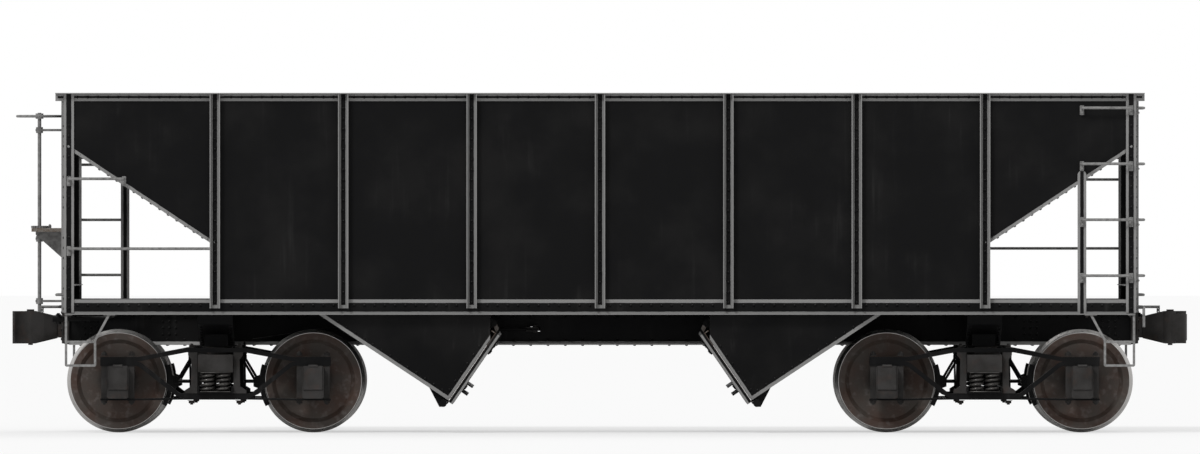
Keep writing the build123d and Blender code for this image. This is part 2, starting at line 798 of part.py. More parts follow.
def body_bolster():
    """A girder from side sill to side sill, with struts to a beam across under the slope sheet."""
    half_width = BODY_BOLSTER_WIDTH / 2
    arm = bolster_arm()
    bearing_z = BOLSTER_TOP_Z + 65 + SIDE_BEARING_GAP
    y_range = (-SIDE_BEARING_Y - 50, -SIDE_BEARING_Y + 50)
    arm += block((TRUCK_X - 100, TRUCK_X + 100), y_range, (bearing_z, 850))
    half_x, half_y = STRUT_SIZE[0] / 2, STRUT_SIZE[1] / 2
    low, high = TRUCK_X - half_x, TRUCK_X + half_x
    post = [
        (low, SILL_Z + STRUT_FOOT_RISE),
        (high, SILL_Z + STRUT_FOOT_RISE),
        (high, slope_z(high)),
        (low, slope_z(low)),
    ]
    arm += prism_xz(post, -STRUT_Y - half_y, -STRUT_Y + half_y)
    tie_x = (TRUCK_X - half_width, TRUCK_X + half_width)
    tie = block(tie_x, (-SILL_FLANGE_Y, SILL_FLANGE_Y), (CENTRE_SILL_TOP, TIE_TOP))
    beam = [
        (low, slope_z(low)),
        (low, slope_z(low) - FLOOR_BEAM),
        (low + LEG, slope_z(low) - FLOOR_BEAM),
        (low + LEG, slope_z(low + LEG) - LEG),
        (high, slope_z(high) - LEG),
        (high, slope_z(high)),
    ]
    return tie + arm + mirror_y(arm) + prism_xz(beam, -SIDE_IN, SIDE_IN)


def centre_plate():
    """The body centre plate and its king pin."""
    y_range, z_range = (-SILL_WEB_Y, SILL_WEB_Y), (CENTRE_SILL_Z - 14, CENTRE_SILL_Z)
    flange = block((TRUCK_X - 170, TRUCK_X + 170), y_range, z_range)
    low = PLATE_Z + RUNNING_FIT
    disc = rod((TRUCK_X, 0, low), (TRUCK_X, 0, CENTRE_SILL_Z), CENTRE_PLATE_RADIUS)
    pin = rod((TRUCK_X, 0, PLATE_Z - 130), (TRUCK_X, 0, PLATE_Z + 5), KING_PIN_RADIUS)
    return flange + disc + pin


# Couplers

def striker():
    """The casting round the coupler where it leaves the centre sill."""
    y = 205
    outline = [
        (END_OUT, CENTRE_SILL_Z + 4),
        (STRIKER_X, CENTRE_SILL_Z + 14),
        (STRIKER_X, CENTRE_SILL_TOP + 14),
        (FRAME_X, CENTRE_SILL_TOP + 24),
        (FRAME_X, SILL_Z),
        (END_OUT, SILL_Z),
    ]
    body = prism_xz(outline, -y, y)
    low = COUPLER_Z - SHANK_DEPTH / 2
    mouth = block((END_OUT - 5, STRIKER_X + 5), (-95, 95), (low, COUPLER_Z + SHANK_DEPTH / 2 + 12))
    side_window = block((END_OUT + 18, STRIKER_X - 14), (-y - 1, y + 1), (low + 25, low + 150))
    return body - mouth - side_window


def arc_outline(points):
    """A face in the XY plane from points. A point with a third number is the middle of an arc."""
    edges = []
    place = 0
    while place < len(points) - 1:
        here, after = points[place], points[place + 1]
        if len(after) == 3:
            end = points[place + 2]
            edges.append(ThreePointArc(here[:2], after[:2], end[:2]))
            place += 2
        else:
            edges.append(Line(here[:2], after[:2]))
            place += 1
    if points[-1][:2] != points[0][:2]:
        edges.append(Line(points[-1][:2], points[0][:2]))
    return make_face(edges)


def knuckle_face(grow=0.0):
    """Plan of the knuckle: a hook about the pivot, with its nose across the coupler's face."""
    px, py = KNUCKLE_PIVOT
    x = PULL_X
    points = [
        (px - 44 - grow, py),
        (px - 31, py - 38 - grow, 0),
        (px + 8, py - 50 - grow),
        (x + 2, py - 42 - grow),
        (x + 52 + grow, py + 0, 0),
        (x + 62 + grow, -30),
        (x + 66 + grow, 12, 0),
        (x + 44, 30 + grow),
        (x + 10, 26 + grow, 0),
        (x - 4, 4),
        (x - 4, -34),
        (x - 14, -52, 0),
        (x - 40, -58 + grow),
        (px - 10, py + 44 + grow),
        (px - 36, py + 28 + grow, 0),
        (px - 44 - grow, py),
    ]
    return arc_outline(points)


def knuckle():
    half = HEAD_DEPTH / 2 - 26
    hook = Pos(0, 0, COUPLER_Z - half) * extrude(knuckle_face(), amount=2 * half, dir=(0, 0, 1))
    px, py = KNUCKLE_PIVOT
    hole = rod((px, py, COUPLER_Z - HEAD_DEPTH), (px, py, COUPLER_Z + HEAD_DEPTH), 21)
    return hook - hole


def coupler():
    """Shank and head. The knuckle sits in a slot in the head, on its pin."""
    x = PULL_X
    px, py = KNUCKLE_PIVOT
    head_points = [
        (HORN_X, -SHANK_WIDTH / 2 - 12),
        (HORN_X, SHANK_WIDTH / 2 + 12),
        (x - 200, 118),
        (x - 90, 146),
        (x - 10, 168, 0),
        (x + 46, 208),
        (x + 66, 204, 0),
        (x + 66, 184),
        (x + 30, 142, 0),
        (x - 34, 104),
        (x - 84, 62, 0),
        (x - 100, 0),
        (x - 98, -40, 0),
        (x - 70, -62),
        (px + 30, py + 34),
        (px + 48, py - 6, 0),
        (px + 22, py - 46),
        (px - 20, py - 58, 0),
        (px - 60, py - 40),
        (x - 200, -118),
    ]
    half = HEAD_DEPTH / 2
    head = Pos(0, 0, COUPLER_Z - half) * extrude(arc_outline(head_points), amount=2 * half, dir=(0, 0, 1))
    for side in (-1, 1):
        edge = COUPLER_Z + side * (half + 1)
        taper = [(HORN_X - 1, edge), (x - 120, edge), (HORN_X - 1, COUPLER_Z + side * (half - 45))]
        head -= prism_xz(taper, -HEAD_DEPTH, HEAD_DEPTH)
    slot_half = half - 26
    slot_face = knuckle_face(grow=3.0)
    slot = Pos(0, 0, COUPLER_Z - slot_half) * extrude(slot_face, amount=2 * slot_half, dir=(0, 0, 1))
    head -= slot
    shank = block(
        (END_OUT - DRAFT_POCKET, HORN_X + 20),
        (-SHANK_WIDTH / 2, SHANK_WIDTH / 2),
        (COUPLER_Z - SHANK_DEPTH / 2, COUPLER_Z + SHANK_DEPTH / 2),
    )
    pin = rod((px, py, COUPLER_Z - half - 14), (px, py, COUPLER_Z + half + 14), 20)
    pin += rod((px, py, COUPLER_Z + half), (px, py, COUPLER_Z + half + 14), 32)
    return head + shank + pin


def draft_gear():
    """The draft gear between the centre sills, behind the coupler, with its yoke."""
    follower, length, case_y, case_z = 57, 400, 120, 92
    x1 = END_OUT - DRAFT_POCKET
    x0 = x1 - follower
    back = x0 - length
    gear = block((x0, x1), (-SILL_WEB_Y, SILL_WEB_Y), (COUPLER_Z - 85, COUPLER_Z + 85))
    gear += block((back, x0), (-case_y, case_y), (COUPLER_Z - case_z, COUPLER_Z + case_z))
    gear += block((back - follower, back), (-SILL_WEB_Y, SILL_WEB_Y), (COUPLER_Z - 85, COUPLER_Z + 85))
    strap_in, strap_out = SHANK_DEPTH / 2, SHANK_DEPTH / 2 + 25
    for side in (-1, 1):
        z_pair = sorted((COUPLER_Z + side * strap_in, COUPLER_Z + side * strap_out))
        gear += block((back - follower - 30, x1 + 190), (-60, 60), z_pair)
    gear += block((back - follower - 30, back - follower), (-60, 60), (COUPLER_Z - 114, COUPLER_Z + 114))
    return gear


def uncoupling_lever():
    """The lever from the side of the wagon to the coupler, in two brackets on the end sill."""
    x, z = FRAME_X + POST_DEPTH + 16, SILL_Z + 62
    outer = -SIDE_OUT + 60
    py = KNUCKLE_PIVOT[1] + 60
    route = [(x, outer, z - 170), (x, outer, z), (x, py, z), (x + 170, py, z)]
    lever = bent_rod(route, UNCOUPLING_ROD_RADIUS, 40)
    for y in (outer + 130, -260):
        lever += block((FRAME_X, x + 12), (y - 16, y + 16), (z - 14, z + 14))
    return lever


# Trucks, built about their own centre and then moved out

def bent_bar(points, thickness, width, y):
    """A flat bar bent along a route of centre points in X and Z."""
    path = FilletPolyline(*[(x, y, z) for x, z in points], radius=90)
    (x0, z0), (x1, z1) = points[:2]
    start = Plane(origin=(x0, y, z0), x_dir=(0, 1, 0), z_dir=(x1 - x0, 0, z1 - z0))
    return sweep(start * Rectangle(width, thickness), path)


def mirrored_route(half):
    return [(-x, z) for x, z in half[::-1]] + half


def arch_bars(y):
    """Top arch bar, inverted arch bar and tie bar of one side."""
    half, tie_half = BAR_THICKNESS / 2, TIE_THICKNESS / 2
    # Where each bar turns flat in the middle, its height there and over the boxes, and its thickness
    bars = [
        (250, RAIL + FRAME_TOP - half, BOX_TOP_Z + half + BAR_THICKNESS, BAR_THICKNESS),
        (310, RAIL + FRAME_BOTTOM + half, BOX_TOP_Z + half, BAR_THICKNESS),
        (310, RAIL + FRAME_BOTTOM - tie_half, BOX_BOTTOM_Z - tie_half, TIE_THICKNESS),
    ]
    frame = []
    for turn_x, middle_z, end_z, thickness in bars:
        route = mirrored_route([(turn_x, middle_z), (BAR_FLAT, end_z), (BAR_END, end_z)])
        frame.append(bent_bar(route, thickness, BAR_WIDTH, y))
    return frame[0] + frame[1] + frame[2]


def column(side, y):
    """A bolster guide between the arch bars, with its feet turned out."""
    low, high = RAIL + FRAME_BOTTOM + BAR_THICKNESS, RAIL + FRAME_TOP - BAR_THICKNESS
    inner = BOLSTER_WIDTH / 2 + COLUMN_GAP
    outline = [
        (inner, low),
        (inner + 110, low),
        (inner + 110, low + 26),
        (inner + 56, low + 60),
        (inner + 52, high - 60),
        (inner + 80, high - 24),
        (inner + 80, high),
        (inner, high),
    ]
    return prism_xz([(side * x, z) for x, z in outline], y - COLUMN_WIDTH / 2, y + COLUMN_WIDTH / 2)


def journal_box(x, y, out):
    """A hollow journal box with bolt lugs, a sloping lid and the bearing on the journal."""
    half, wall, lug = 92, 11, 142
    back, front = y - out * 133, y + out * 150
    y_range = sorted((back, front))
    box = block((x - half, x + half), y_range, (BOX_BOTTOM_Z, BOX_TOP_Z))
    box = fillet(box.edges().filter_by(Axis.Y), 22)
    nose = [
        (y + out * 118, BOX_TOP_Z + 1),
        (y + out * 151, BOX_TOP_Z + 1),
        (y + out * 151, BOX_BOTTOM_Z + 70),
    ]
    box -= prism_yz(nose, x - half - 1, x + half + 1)
    box += block((x - lug, x + lug), (y - 48, y + 48), (BOX_BOTTOM_Z, BOX_TOP_Z))
    cavity_y = sorted((back + out * wall, front - out * 20))
    box -= block((x - half + wall, x + half - wall), cavity_y, (BOX_BOTTOM_Z + 22, BOX_TOP_Z - 12))
    box -= rod((x, back - out, AXLE_Z), (x, back + out * (wall + 1), AXLE_Z), AXLE_BODY_RADIUS + 4)
    brass = block((x - 58, x + 58), sorted((y - out * 108, y + out * 104)), (AXLE_Z + 20, BOX_TOP_Z - 12))
    brass -= rod((x, y - 200, AXLE_Z), (x, y + 200, AXLE_Z), JOURNAL_RADIUS + RUNNING_FIT)
    lid = [
        (y + out * 119, BOX_TOP_Z - 6),
        (y + out * 133, BOX_TOP_Z - 2),
        (y + out * 164, BOX_BOTTOM_Z + 78),
        (y + out * 150, BOX_BOTTOM_Z + 70),
    ]
    box += prism_yz(lid, x - 80, x + 80)
    hinge = (x - 40, y + out * 126, BOX_TOP_Z - 4)
    box += rod(hinge, (x + 40, hinge[1], hinge[2]), 14)
    return box + brass


def truck_bolster():
    """The truck bolster, deeper in the middle, with its centre bowl and side bearings."""
    reach, half = BOLSTER_LENGTH / 2, BOLSTER_WIDTH / 2
    top = BOLSTER_TOP_Z
    end_low, low = top - BOLSTER_DEPTH, top - BOLSTER_MIDDLE_DEPTH
    outline = [(-reach, top), (-reach, end_low), (-780, end_low), (-420, low)]
    outline += [(-y, z) for y, z in outline[::-1]]
    beam = prism_yz(outline, -half, half)
    pocket = [(-600, top - 40), (-600, end_low + 18), (-410, low + 36), (-170, low + 36), (-170, top - 40)]
    for side in (-1, 1):
        for hand in (-1, 1):
            x_pair = sorted((side * (half - 70), side * (half + 1)))
            beam -= prism_yz([(hand * y, z) for y, z in pocket], *x_pair)
        beam += block((-75, 75), (side * SIDE_BEARING_Y - 55, side * SIDE_BEARING_Y + 55), (top, top + 65))
    bowl = rod((0, 0, top), (0, 0, PLATE_Z + 22), CENTRE_PLATE_RADIUS + 28)
    bowl -= rod((0, 0, PLATE_Z), (0, 0, PLATE_Z + 30), CENTRE_PLATE_RADIUS + 5)
    hole = rod((0, 0, low - 5), (0, 0, PLATE_Z + 1), KING_PIN_RADIUS + 1)
    return beam + bowl - hole


def spring_plank():
    """A channel under the springs, its flanges turned up."""
    half, top = BOLSTER_WIDTH / 2, PLANK_Z + PLANK_FLANGE
    route = [(half, top), (half, PLANK_Z), (-half, PLANK_Z), (-half, top)]
    return prism_xz(ribbon(route[::-1], PLANK), -PLANK_REACH, PLANK_REACH)


def coil(x, y):
    """One coil spring, drawn as a stack of turns."""
    low, high = PLANK_Z + PLANK, BOLSTER_TOP_Z - BOLSTER_DEPTH
    pitch = (high - low) / SPRING_TURNS
    profile = [(0, low)]
    for turn in range(SPRING_TURNS):
        profile += [(SPRING_CORE, low + turn * pitch), (SPRING_RADIUS, low + (turn + 0.5) * pitch)]
    profile += [(SPRING_CORE, high), (0, high)]
    face = make_face(Polyline(*[(radius, 0, z) for radius, z in profile], close=True))
    return Pos(x, y, 0) * revolve(face, Axis.Z, 360)


def spring_cluster(y):
    """Four coil springs between two cap plates."""
    low, high = PLANK_Z + PLANK, BOLSTER_TOP_Z - BOLSTER_DEPTH
    reach = SPRING_SPACING + SPRING_RADIUS
    cluster = block((-reach, reach), (y - reach, y + reach), (low, low + SPRING_CAP))
    cluster += block((-reach, reach), (y - reach, y + reach), (high - SPRING_CAP, high))
    for x_side in (-1, 1):
        for y_side in (-1, 1):
            cluster += coil(x_side * SPRING_SPACING, y + y_side * SPRING_SPACING)
    return cluster


def brake_shoe(hand):
    """One shoe against the inner side of a wheel's tread, with its head."""
    y_range = sorted(hand * y for y in SHOE_YS)
    inner = WHEEL_RADIUS + SHOE_GAP
    wedge = [(BOX_X, AXLE_Z)]
    for angle in SHOE_SPREAD:
        wedge.append((BOX_X + 700 * cos(radians(angle)), AXLE_Z + 700 * sin(radians(angle))))
    start, end = (BOX_X, y_range[0], AXLE_Z), (BOX_X, y_range[1], AXLE_Z)
    ring = rod(start, end, inner + SHOE_THICKNESS) - rod(start, end, inner)
    shoe = ring & prism_xz(wedge, *y_range)
    back, front = BEAM_X - BEAM_HALF, BEAM_X + 36
    head = [(back, BEAM_Z - 40), (front, BEAM_Z - 60), (front, BEAM_Z + 60), (back, BEAM_Z + 40)]
    return shoe + prism_xz(head, y_range[0] + 15, y_range[1] - 15)


def brake_beam():
    """A trussed brake beam with its two shoes, hangers and strut, at the +X wheels of a truck."""
    x, z, reach, half, lever_half = BEAM_X, BEAM_Z, BEAM_LENGTH / 2, BEAM_HALF, LEVER_THICKNESS / 2
    route = [(x - half, z - half), (x + half, z - half), (x + half, z + half), (x - half, z + half)]
    beam = prism_xz(ribbon(route, LEG), -reach, reach)
    beam += block((LEVER_X - lever_half, x), (-14, 14), (z - 15, z + 15))
    hanger_top = BOLSTER_TOP_Z - 30
    bolster_x = BOLSTER_WIDTH / 2
    for hand in (-1, 1):
        hanger_y = hand * HANGER_Y
        beam += rod((x, hand * (HANGER_Y + 50), z), (LEVER_X + lever_half, 0, z), TRUSS_RADIUS)
        beam += brake_shoe(hand)
        beam += rod((x, hanger_y, z), (bolster_x + 70, hanger_y, hanger_top), TRUSS_RADIUS)
        bracket = [
            (bolster_x, hanger_top - 40),
            (bolster_x + 50, hanger_top - 18),
            (bolster_x + 90, hanger_top - 18),
            (bolster_x + 90, hanger_top + 18),
            (bolster_x, hanger_top + 18),
        ]
        beam += prism_xz(bracket, hanger_y - 16, hanger_y + 16)
    return beam


def leaning_lever(top):
    """A lever that leans over to clear the centre sill, held in the strut of its beam."""
    low_y, low_z = LEVER_LOW
    top_y, top_z = top
    run = hypot(top_y - low_y, top_z - low_z)
    y, z = (top_z - low_z) / run * LEVER_WIDTH / 2, (low_y - top_y) / run * LEVER_WIDTH / 2
    outline = [
        (low_y + y, low_z + z),
        (top_y + y / 2, top_z + z / 2),
        (top_y - y / 2, top_z - z / 2),
        (-y, BEAM_Z - z),
        (low_y - y, low_z - z),
    ]
    return prism_yz(outline, LEVER_X - LEVER_THICKNESS / 2, LEVER_X + LEVER_THICKNESS / 2)


def brake_rigging():
    """Both beams, the live and dead levers and the rod between them, under one truck."""
    bolster_x = BOLSTER_WIDTH / 2
    dead = brake_beam() + leaning_lever(FULCRUM)
    pin_y, pin_z = FULCRUM
    x_range = (bolster_x, LEVER_X + LEVER_THICKNESS / 2)
    dead += block(x_range, (pin_y - 18, pin_y + 18), (pin_z - 14, pin_z + 14))
    live = mirror_x(brake_beam() + leaning_lever(LEVER_TOP))
    y, z = LEVER_LOW
    return dead + live + rod((-LEVER_X, y, z), (LEVER_X, y, z), ROD_RADIUS)


# Wheelsets

def wheel():
    """A chilled cast-iron wheel at +Y: dished plate, deep hub, curved ribs on its back."""
    back = WHEEL_BACK_Y
    front = back + RIM_WIDTH
    r = WHEEL_RADIUS
    bore = AXLE_SEAT_RADIUS + PRESS_FIT_GAP
    rim_in = r - RIM_DEPTH
    hub_back, hub_front = back + 6, back + 6 + HUB_LENGTH - 20
    web_back = back + 66
    web_front = web_back + WEB_THICKNESS
    outline = [
        (bore, hub_back),
        (HUB_RADIUS, hub_back),
        (HUB_RADIUS + 12, web_back),
        (rim_in - 30, web_back),
        (rim_in + 8, back),
        (r + FLANGE_HEIGHT, back),
        (r + FLANGE_HEIGHT, back + 12),
        (r + 2, back + FLANGE_WIDTH),
        (r - 5, front),
        (rim_in, front),
        (rim_in - 34, web_front + 14),
        (HUB_RADIUS + 14, web_front + 8),
        (HUB_RADIUS - 6, hub_front),
        (bore, hub_front),
    ]
    disc = revolve(make_face(Polyline(*[(radius, y, 0) for radius, y in outline], close=True)), Axis.Y, 360)
    rib_in, rib_out, sweep_angle = HUB_RADIUS + 2, rim_in - 6, 26
    half_in, half_out = degrees(RIB_THICKNESS / 2 / rib_in), degrees(RIB_THICKNESS / 2 / rib_out)

    def at(radius, angle):
        return (radius * cos(radians(angle)), web_back - 30, radius * sin(radians(angle)))

    middle = (rib_in + rib_out) / 2
    rib_edges = [
        ThreePointArc(at(rib_in, -half_in), at(middle, 5 - half_out), at(rib_out, sweep_angle - half_out)),
        Line(at(rib_out, sweep_angle - half_out), at(rib_out, sweep_angle + half_out)),
        ThreePointArc(at(rib_out, sweep_angle + half_out), at(middle, 5 + half_out), at(rib_in, half_in)),
        Line(at(rib_in, half_in), at(rib_in, -half_in)),
    ]
    rib = extrude(make_face(rib_edges), amount=31, dir=(0, 1, 0))
    return disc + [Rot(0, turn * 360 / WHEEL_RIBS, 0) * rib for turn in range(WHEEL_RIBS)]


def axle():
    """The axle from journal to journal, waisted between the wheels."""
    journal_in = JOURNAL_CENTRE_Y - JOURNAL_LENGTH / 2
    journal_out = JOURNAL_CENTRE_Y + JOURNAL_LENGTH / 2
    seat_in, seat_out = WHEEL_BACK_Y, WHEEL_BACK_Y + HUB_LENGTH - 12
    half = [
        (AXLE_BODY_RADIUS - 12, 0),
        (AXLE_BODY_RADIUS, seat_in - 60),
        (AXLE_SEAT_RADIUS, seat_in - 20),
        (AXLE_SEAT_RADIUS, seat_out),
        (AXLE_BODY_RADIUS, seat_out),
        (AXLE_BODY_RADIUS, journal_in),
        (JOURNAL_RADIUS, journal_in),
        (JOURNAL_RADIUS, journal_out - COLLAR_LENGTH),
        (COLLAR_RADIUS, journal_out - COLLAR_LENGTH),
        (COLLAR_RADIUS, journal_out),
        (0, journal_out),
    ]
    outline = half + [(radius, -y) for radius, y in half[:0:-1]]
    return revolve(make_face(Polyline(*[(radius, y, 0) for radius, y in outline], close=True)), Axis.Y, 360)


# Ladders, handholds and steps

def side_grab(x_low, y_low, x_high, y_high, z, out):
    """A handhold along the side, with a foot at each end."""
    route = [(x_low, y_low, z), (x_low, out, z), (x_high, out, z), (x_high, y_high, z)]
    return bent_rod(route, GRAB_RADIUS, 24)


def end_grab(y_low, x_low, y_high, x_high, z, out):
    """A handhold across the end, with a foot at each end."""
    route = [(x_low, y_low, z), (out, y_low, z), (out, y_high, z), (x_high, y_high, z)]
    return bent_rod(route, GRAB_RADIUS, 24)


def side_stile():
    """The flat stile in the open end panel, round at its top."""
    half = STILE_WIDTH / 2
    top = STILE_TOP - half
    stile = block((STILE_X - half, STILE_X + half), (POST_FACE_Y, -FRAME_Y), (SILL_Z + LEG, top))
    return stile + rod((STILE_X, POST_FACE_Y, top), (STILE_X, -FRAME_Y, top), half)


def end_stile():
    """The stile round the corner, on the end of the wagon."""
    half = STILE_WIDTH / 2
    y = -END_STILE_Y
    return block((FRAME_X, POST_FACE_X), (y - half, y + half), (SILL_Z + CORNER_RISE, TOP_Z - LEG))


def ladder_rungs():
    """The rungs between stile and corner post on the side, and the same on the end."""
    rungs = []
    for z in RUNG_ZS:
        foot_y = POST_FACE_Y if z < STILE_TOP else -SIDE_OUT
        rungs.append(side_grab(STILE_X, foot_y, POST_FOOT_X, POST_FACE_Y, z, GRAB_OUT_Y))
        rungs.append(end_grab(-END_STILE_Y, POST_FACE_X, POST_FOOT_Y, POST_FACE_X, z, GRAB_OUT_X))
    return rungs


def corner_handholds():
    """The long and short handholds in the other end panel, and the one across that end."""
    long_y = -FRAME_Y - POST_DEPTH + GRAB_RADIUS + 1
    last_post = TRUCK_X + POST_WIDTH / 2
    long_z = SILL_Z + LONG_GRAB_RISE
    route = [
        (-POST_FOOT_X, POST_FACE_Y, long_z),
        (-POST_FOOT_X, long_y, long_z),
        (-last_post, long_y, long_z),
    ]
    long_grab = bent_rod(route, GRAB_RADIUS, 18)
    short_end = POST_FOOT_X - SHORT_GRAB_LENGTH
    short_z = slope_z(short_end + SHORT_GRAB_LAP)
    short_grab = side_grab(-POST_FOOT_X, POST_FACE_Y, -short_end, -SIDE_OUT, short_z, GRAB_OUT_Y)
    return [long_grab, short_grab]


def sill_handhold():
    """The handhold on the end sill, near the corner."""
    inner_y, outer_y = SILL_GRAB_YS
    return end_grab(-outer_y, FRAME_X, -inner_y, FRAME_X, SILL_Z + SILL_GRAB_RISE, GRAB_OUT_X)


def sill_step():
    """A two-tread stirrup under the corner, its inner leg splayed at the top."""
    out_x = FRAME_X - 1
    in_x = out_x - STEP_LENGTH
    low_z, middle_z = SILL_Z - STEP_DROP, SILL_Z - STEP_MIDDLE_DROP
    y_low, y_high = -SIDE_OUT - 70, -SIDE_OUT - 70 + STEP_WIDTH
    route = [
        (out_x, SILL_Z),
        (out_x, low_z),
        (in_x, low_z),
        (in_x, middle_z),
        (out_x - STEP_SPREAD, SILL_Z),
    ]
    step = prism_xz(ribbon(route[::-1], STEP_STRAP), y_low, y_high)
    corners = step.edges().filter_by(Axis.Y).group_by(Axis.Z)[0]
    step = fillet(corners, STEP_STRAP * 0.9)
    step &= block((0, CHORD_END), (y_low - 1, y_high + 1), (0, SILL_Z))
    step += block((in_x, out_x), (y_low, y_high), (middle_z - STEP_STRAP, middle_z))
    foot = (out_x - STEP_SPREAD - 40, out_x - STEP_SPREAD + 60)
    step += block(foot, (y_low, y_high), (SILL_Z - LEG, SILL_Z))
    step += block((out_x - 60, out_x), (y_low, y_high), (SILL_Z - LEG, SILL_Z))
    return step


# Brake gear on the body

def brake_cylinder():
    """Cylinder and reservoir in one, hung from the centre sill between the bays."""
    y, z, r = CYLINDER_Y, CYLINDER_Z, CYLINDER_RADIUS
    profile = [
        (0, -470),
        (70, -470),
        (96, -440),
        (r, -400),
        (r, 30),
        (r + 14, 30),
        (r + 14, 62),
        (r - 14, 62),
        (r - 14, 370),
        (r + 8, 370),
        (r + 8, 392),
        (60, 410),
        (34, 420),
        (34, 470),
        (0, 470),
    ]
    face = make_face(Polyline(*[(x, radius, 0) for radius, x in profile], close=True))
    body = Pos(0, y, z) * revolve(face, Axis.X, 360)
    web = SILL_WEB_Y + SILL_WEB
    for x in (-330, 200):
        plate = [(web, z + 140), (web, z - 90), (y - 60, z - r + 16), (y, z), (y - 20, z + r - 4)]
        body += prism_yz(plate, x - 7, x + 7)
    push_end = LEVER_B_X - LEVER_WIDTH / 2
    return body + rod((460, y, z), (push_end, y, z), 20)


def brake_levers():
    """The two cylinder levers and the rod between them. One passes through the centre sill."""
    half = LEVER_THICKNESS / 2
    z_range = (CYLINDER_Z - half, CYLINDER_Z + half)
    a_range = (LEVER_A_X - LEVER_WIDTH / 2, LEVER_A_X + LEVER_WIDTH / 2)
    b_range = (LEVER_B_X - LEVER_WIDTH / 2, LEVER_B_X + LEVER_WIDTH / 2)
    guide_z = (CYLINDER_Z - 16, CYLINDER_Z + 16)
    pieces = block(b_range, (ROD_Y - 20, LEVER_REACH_Y + 20), z_range)
    pieces += block(a_range, (-ROD_Y - 20, LEVER_REACH_Y + 20), z_range)
    pieces += rod((LEVER_A_X, LEVER_REACH_Y, CYLINDER_Z), (LEVER_B_X, LEVER_REACH_Y, CYLINDER_Z), 14)
    web = SILL_WEB_Y + SILL_WEB
    for direction in (1, -1):
        start_x = LEVER_B_X if direction == 1 else LEVER_A_X
        lever_x = direction * (TRUCK_X - LEVER_X - 70)
        y = direction * ROD_Y
        route = [
            (start_x, y, CYLINDER_Z),
            (direction * (TRUCK_X - ROD_BEND_BACK), y, CYLINDER_Z),
            (lever_x, direction * LEVER_TOP[0], LEVER_TOP[1] + 10),
        ]
        pieces += bent_rod(route, ROD_RADIUS, 200)
        for x in (ROD_GUIDE_X, TRUCK_X - ROD_GUIDE_BACK):
            y_pair = sorted((direction * web, direction * (ROD_Y + 10)))
            pieces += block((direction * x - 12, direction * x + 12), y_pair, guide_z)
    return pieces


def train_pipe():
    """The brake pipe above the centre sill, out under each end sill to its angle cock."""
    route = [
        (0, 0, PIPE_Z),
        (TRUCK_X + 260, 0, PIPE_Z),
        (TRUCK_X + 600, COCK_Y, PIPE_Z),
        (FRAME_X - 336, COCK_Y, COCK_Z),
        (COCK_X, COCK_Y, COCK_Z),
    ]
    half = bent_rod(route, PIPE_RADIUS, 110)
    for x in (620, TRUCK_X - 600):
        half += block((x - 16, x + 16), (-34, 34), (CENTRE_SILL_TOP, PIPE_Z))
    half += block((FRAME_X - 60, FRAME_X - 28), (COCK_Y - 30, COCK_Y + 30), (COCK_Z, SILL_Z))
    half += rod((COCK_X - 20, COCK_Y, COCK_Z), (COCK_X + 70, COCK_Y, COCK_Z), 32)
    half += rod((COCK_X + 20, COCK_Y, COCK_Z - 46), (COCK_X + 20, COCK_Y, COCK_Z + 40), 24)
    half += block((COCK_X + 8, COCK_X + 32), (COCK_Y, COCK_Y + 120), (COCK_Z + 38, COCK_Z + 50))
    half -= rod((COCK_X + 30, COCK_Y, COCK_Z), (COCK_X + 71, COCK_Y, COCK_Z), COCK_BORE)
    return half + other_end(half)


def hand_brake():
    """Staff, handwheel, ratchet, brackets and foot board at one end."""
    x, y = -STAFF_X, STAFF_Y
    brake = rod((x, y, SILL_Z - 90), (x, y, STAFF_TOP + 30), STAFF_RADIUS)
    rim = Pos(x, y, STAFF_TOP) * Torus(BRAKE_WHEEL_RADIUS - 11, 11)
    brake += rim + rod((x, y, STAFF_TOP - 22), (x, y, STAFF_TOP + 24), 34)
    for spoke in range(BRAKE_WHEEL_SPOKES):
        angle = radians(spoke * 360 / BRAKE_WHEEL_SPOKES + 18)
        reach = BRAKE_WHEEL_RADIUS - 11
        tip = (x + reach * cos(angle), y + reach * sin(angle), STAFF_TOP)
        brake += rod((x, y, STAFF_TOP), tip, 8)
    for z in (SILL_Z + 110, BRAKE_STEP_Z - 60, STAFF_TOP - 120):
        brake += block((x - 34, -FRAME_X), (y - 22, y + 22), (z - 10, z + 10))
        brake += rod((x, y, z - 26), (x, y, z + 26), 30)
    brake += rod((x, y, BRAKE_STEP_Z + 30), (x, y, BRAKE_STEP_Z + 52), 62)
    return brake + foot_board()


def foot_board():
    """The board to stand on at the brake wheel, on brackets from the end post and the ladder's stile."""
    outer, inner = -STAFF_X - 60, -FRAME_X - POST_DEPTH - 2
    half, low = BRAKE_STEP_LENGTH / 2, BRAKE_STEP_Z
    board = block((outer, inner), (STAFF_Y - half, STAFF_Y + half), (low, low + BRAKE_STEP_THICKNESS))
    # Where each bracket stands: its back and its middle
    seats = [
        (-FRAME_X - POST_DEPTH + LEG, END_POST_Y - POST_WIDTH / 2 + LEG / 2),
        (-POST_FACE_X, END_STILE_Y),
    ]
    for back, y in seats:
        bracket = [
            (back, low),
            (outer + 30, low),
            (outer + 30, low - BRACKET_EDGE),
            (back - BRACKET_EDGE, low - BRACKET_DEPTH),
            (back, low - BRACKET_DEPTH),
        ]
        board += prism_xz(bracket, y - LEG / 2, y + LEG / 2)
    return board


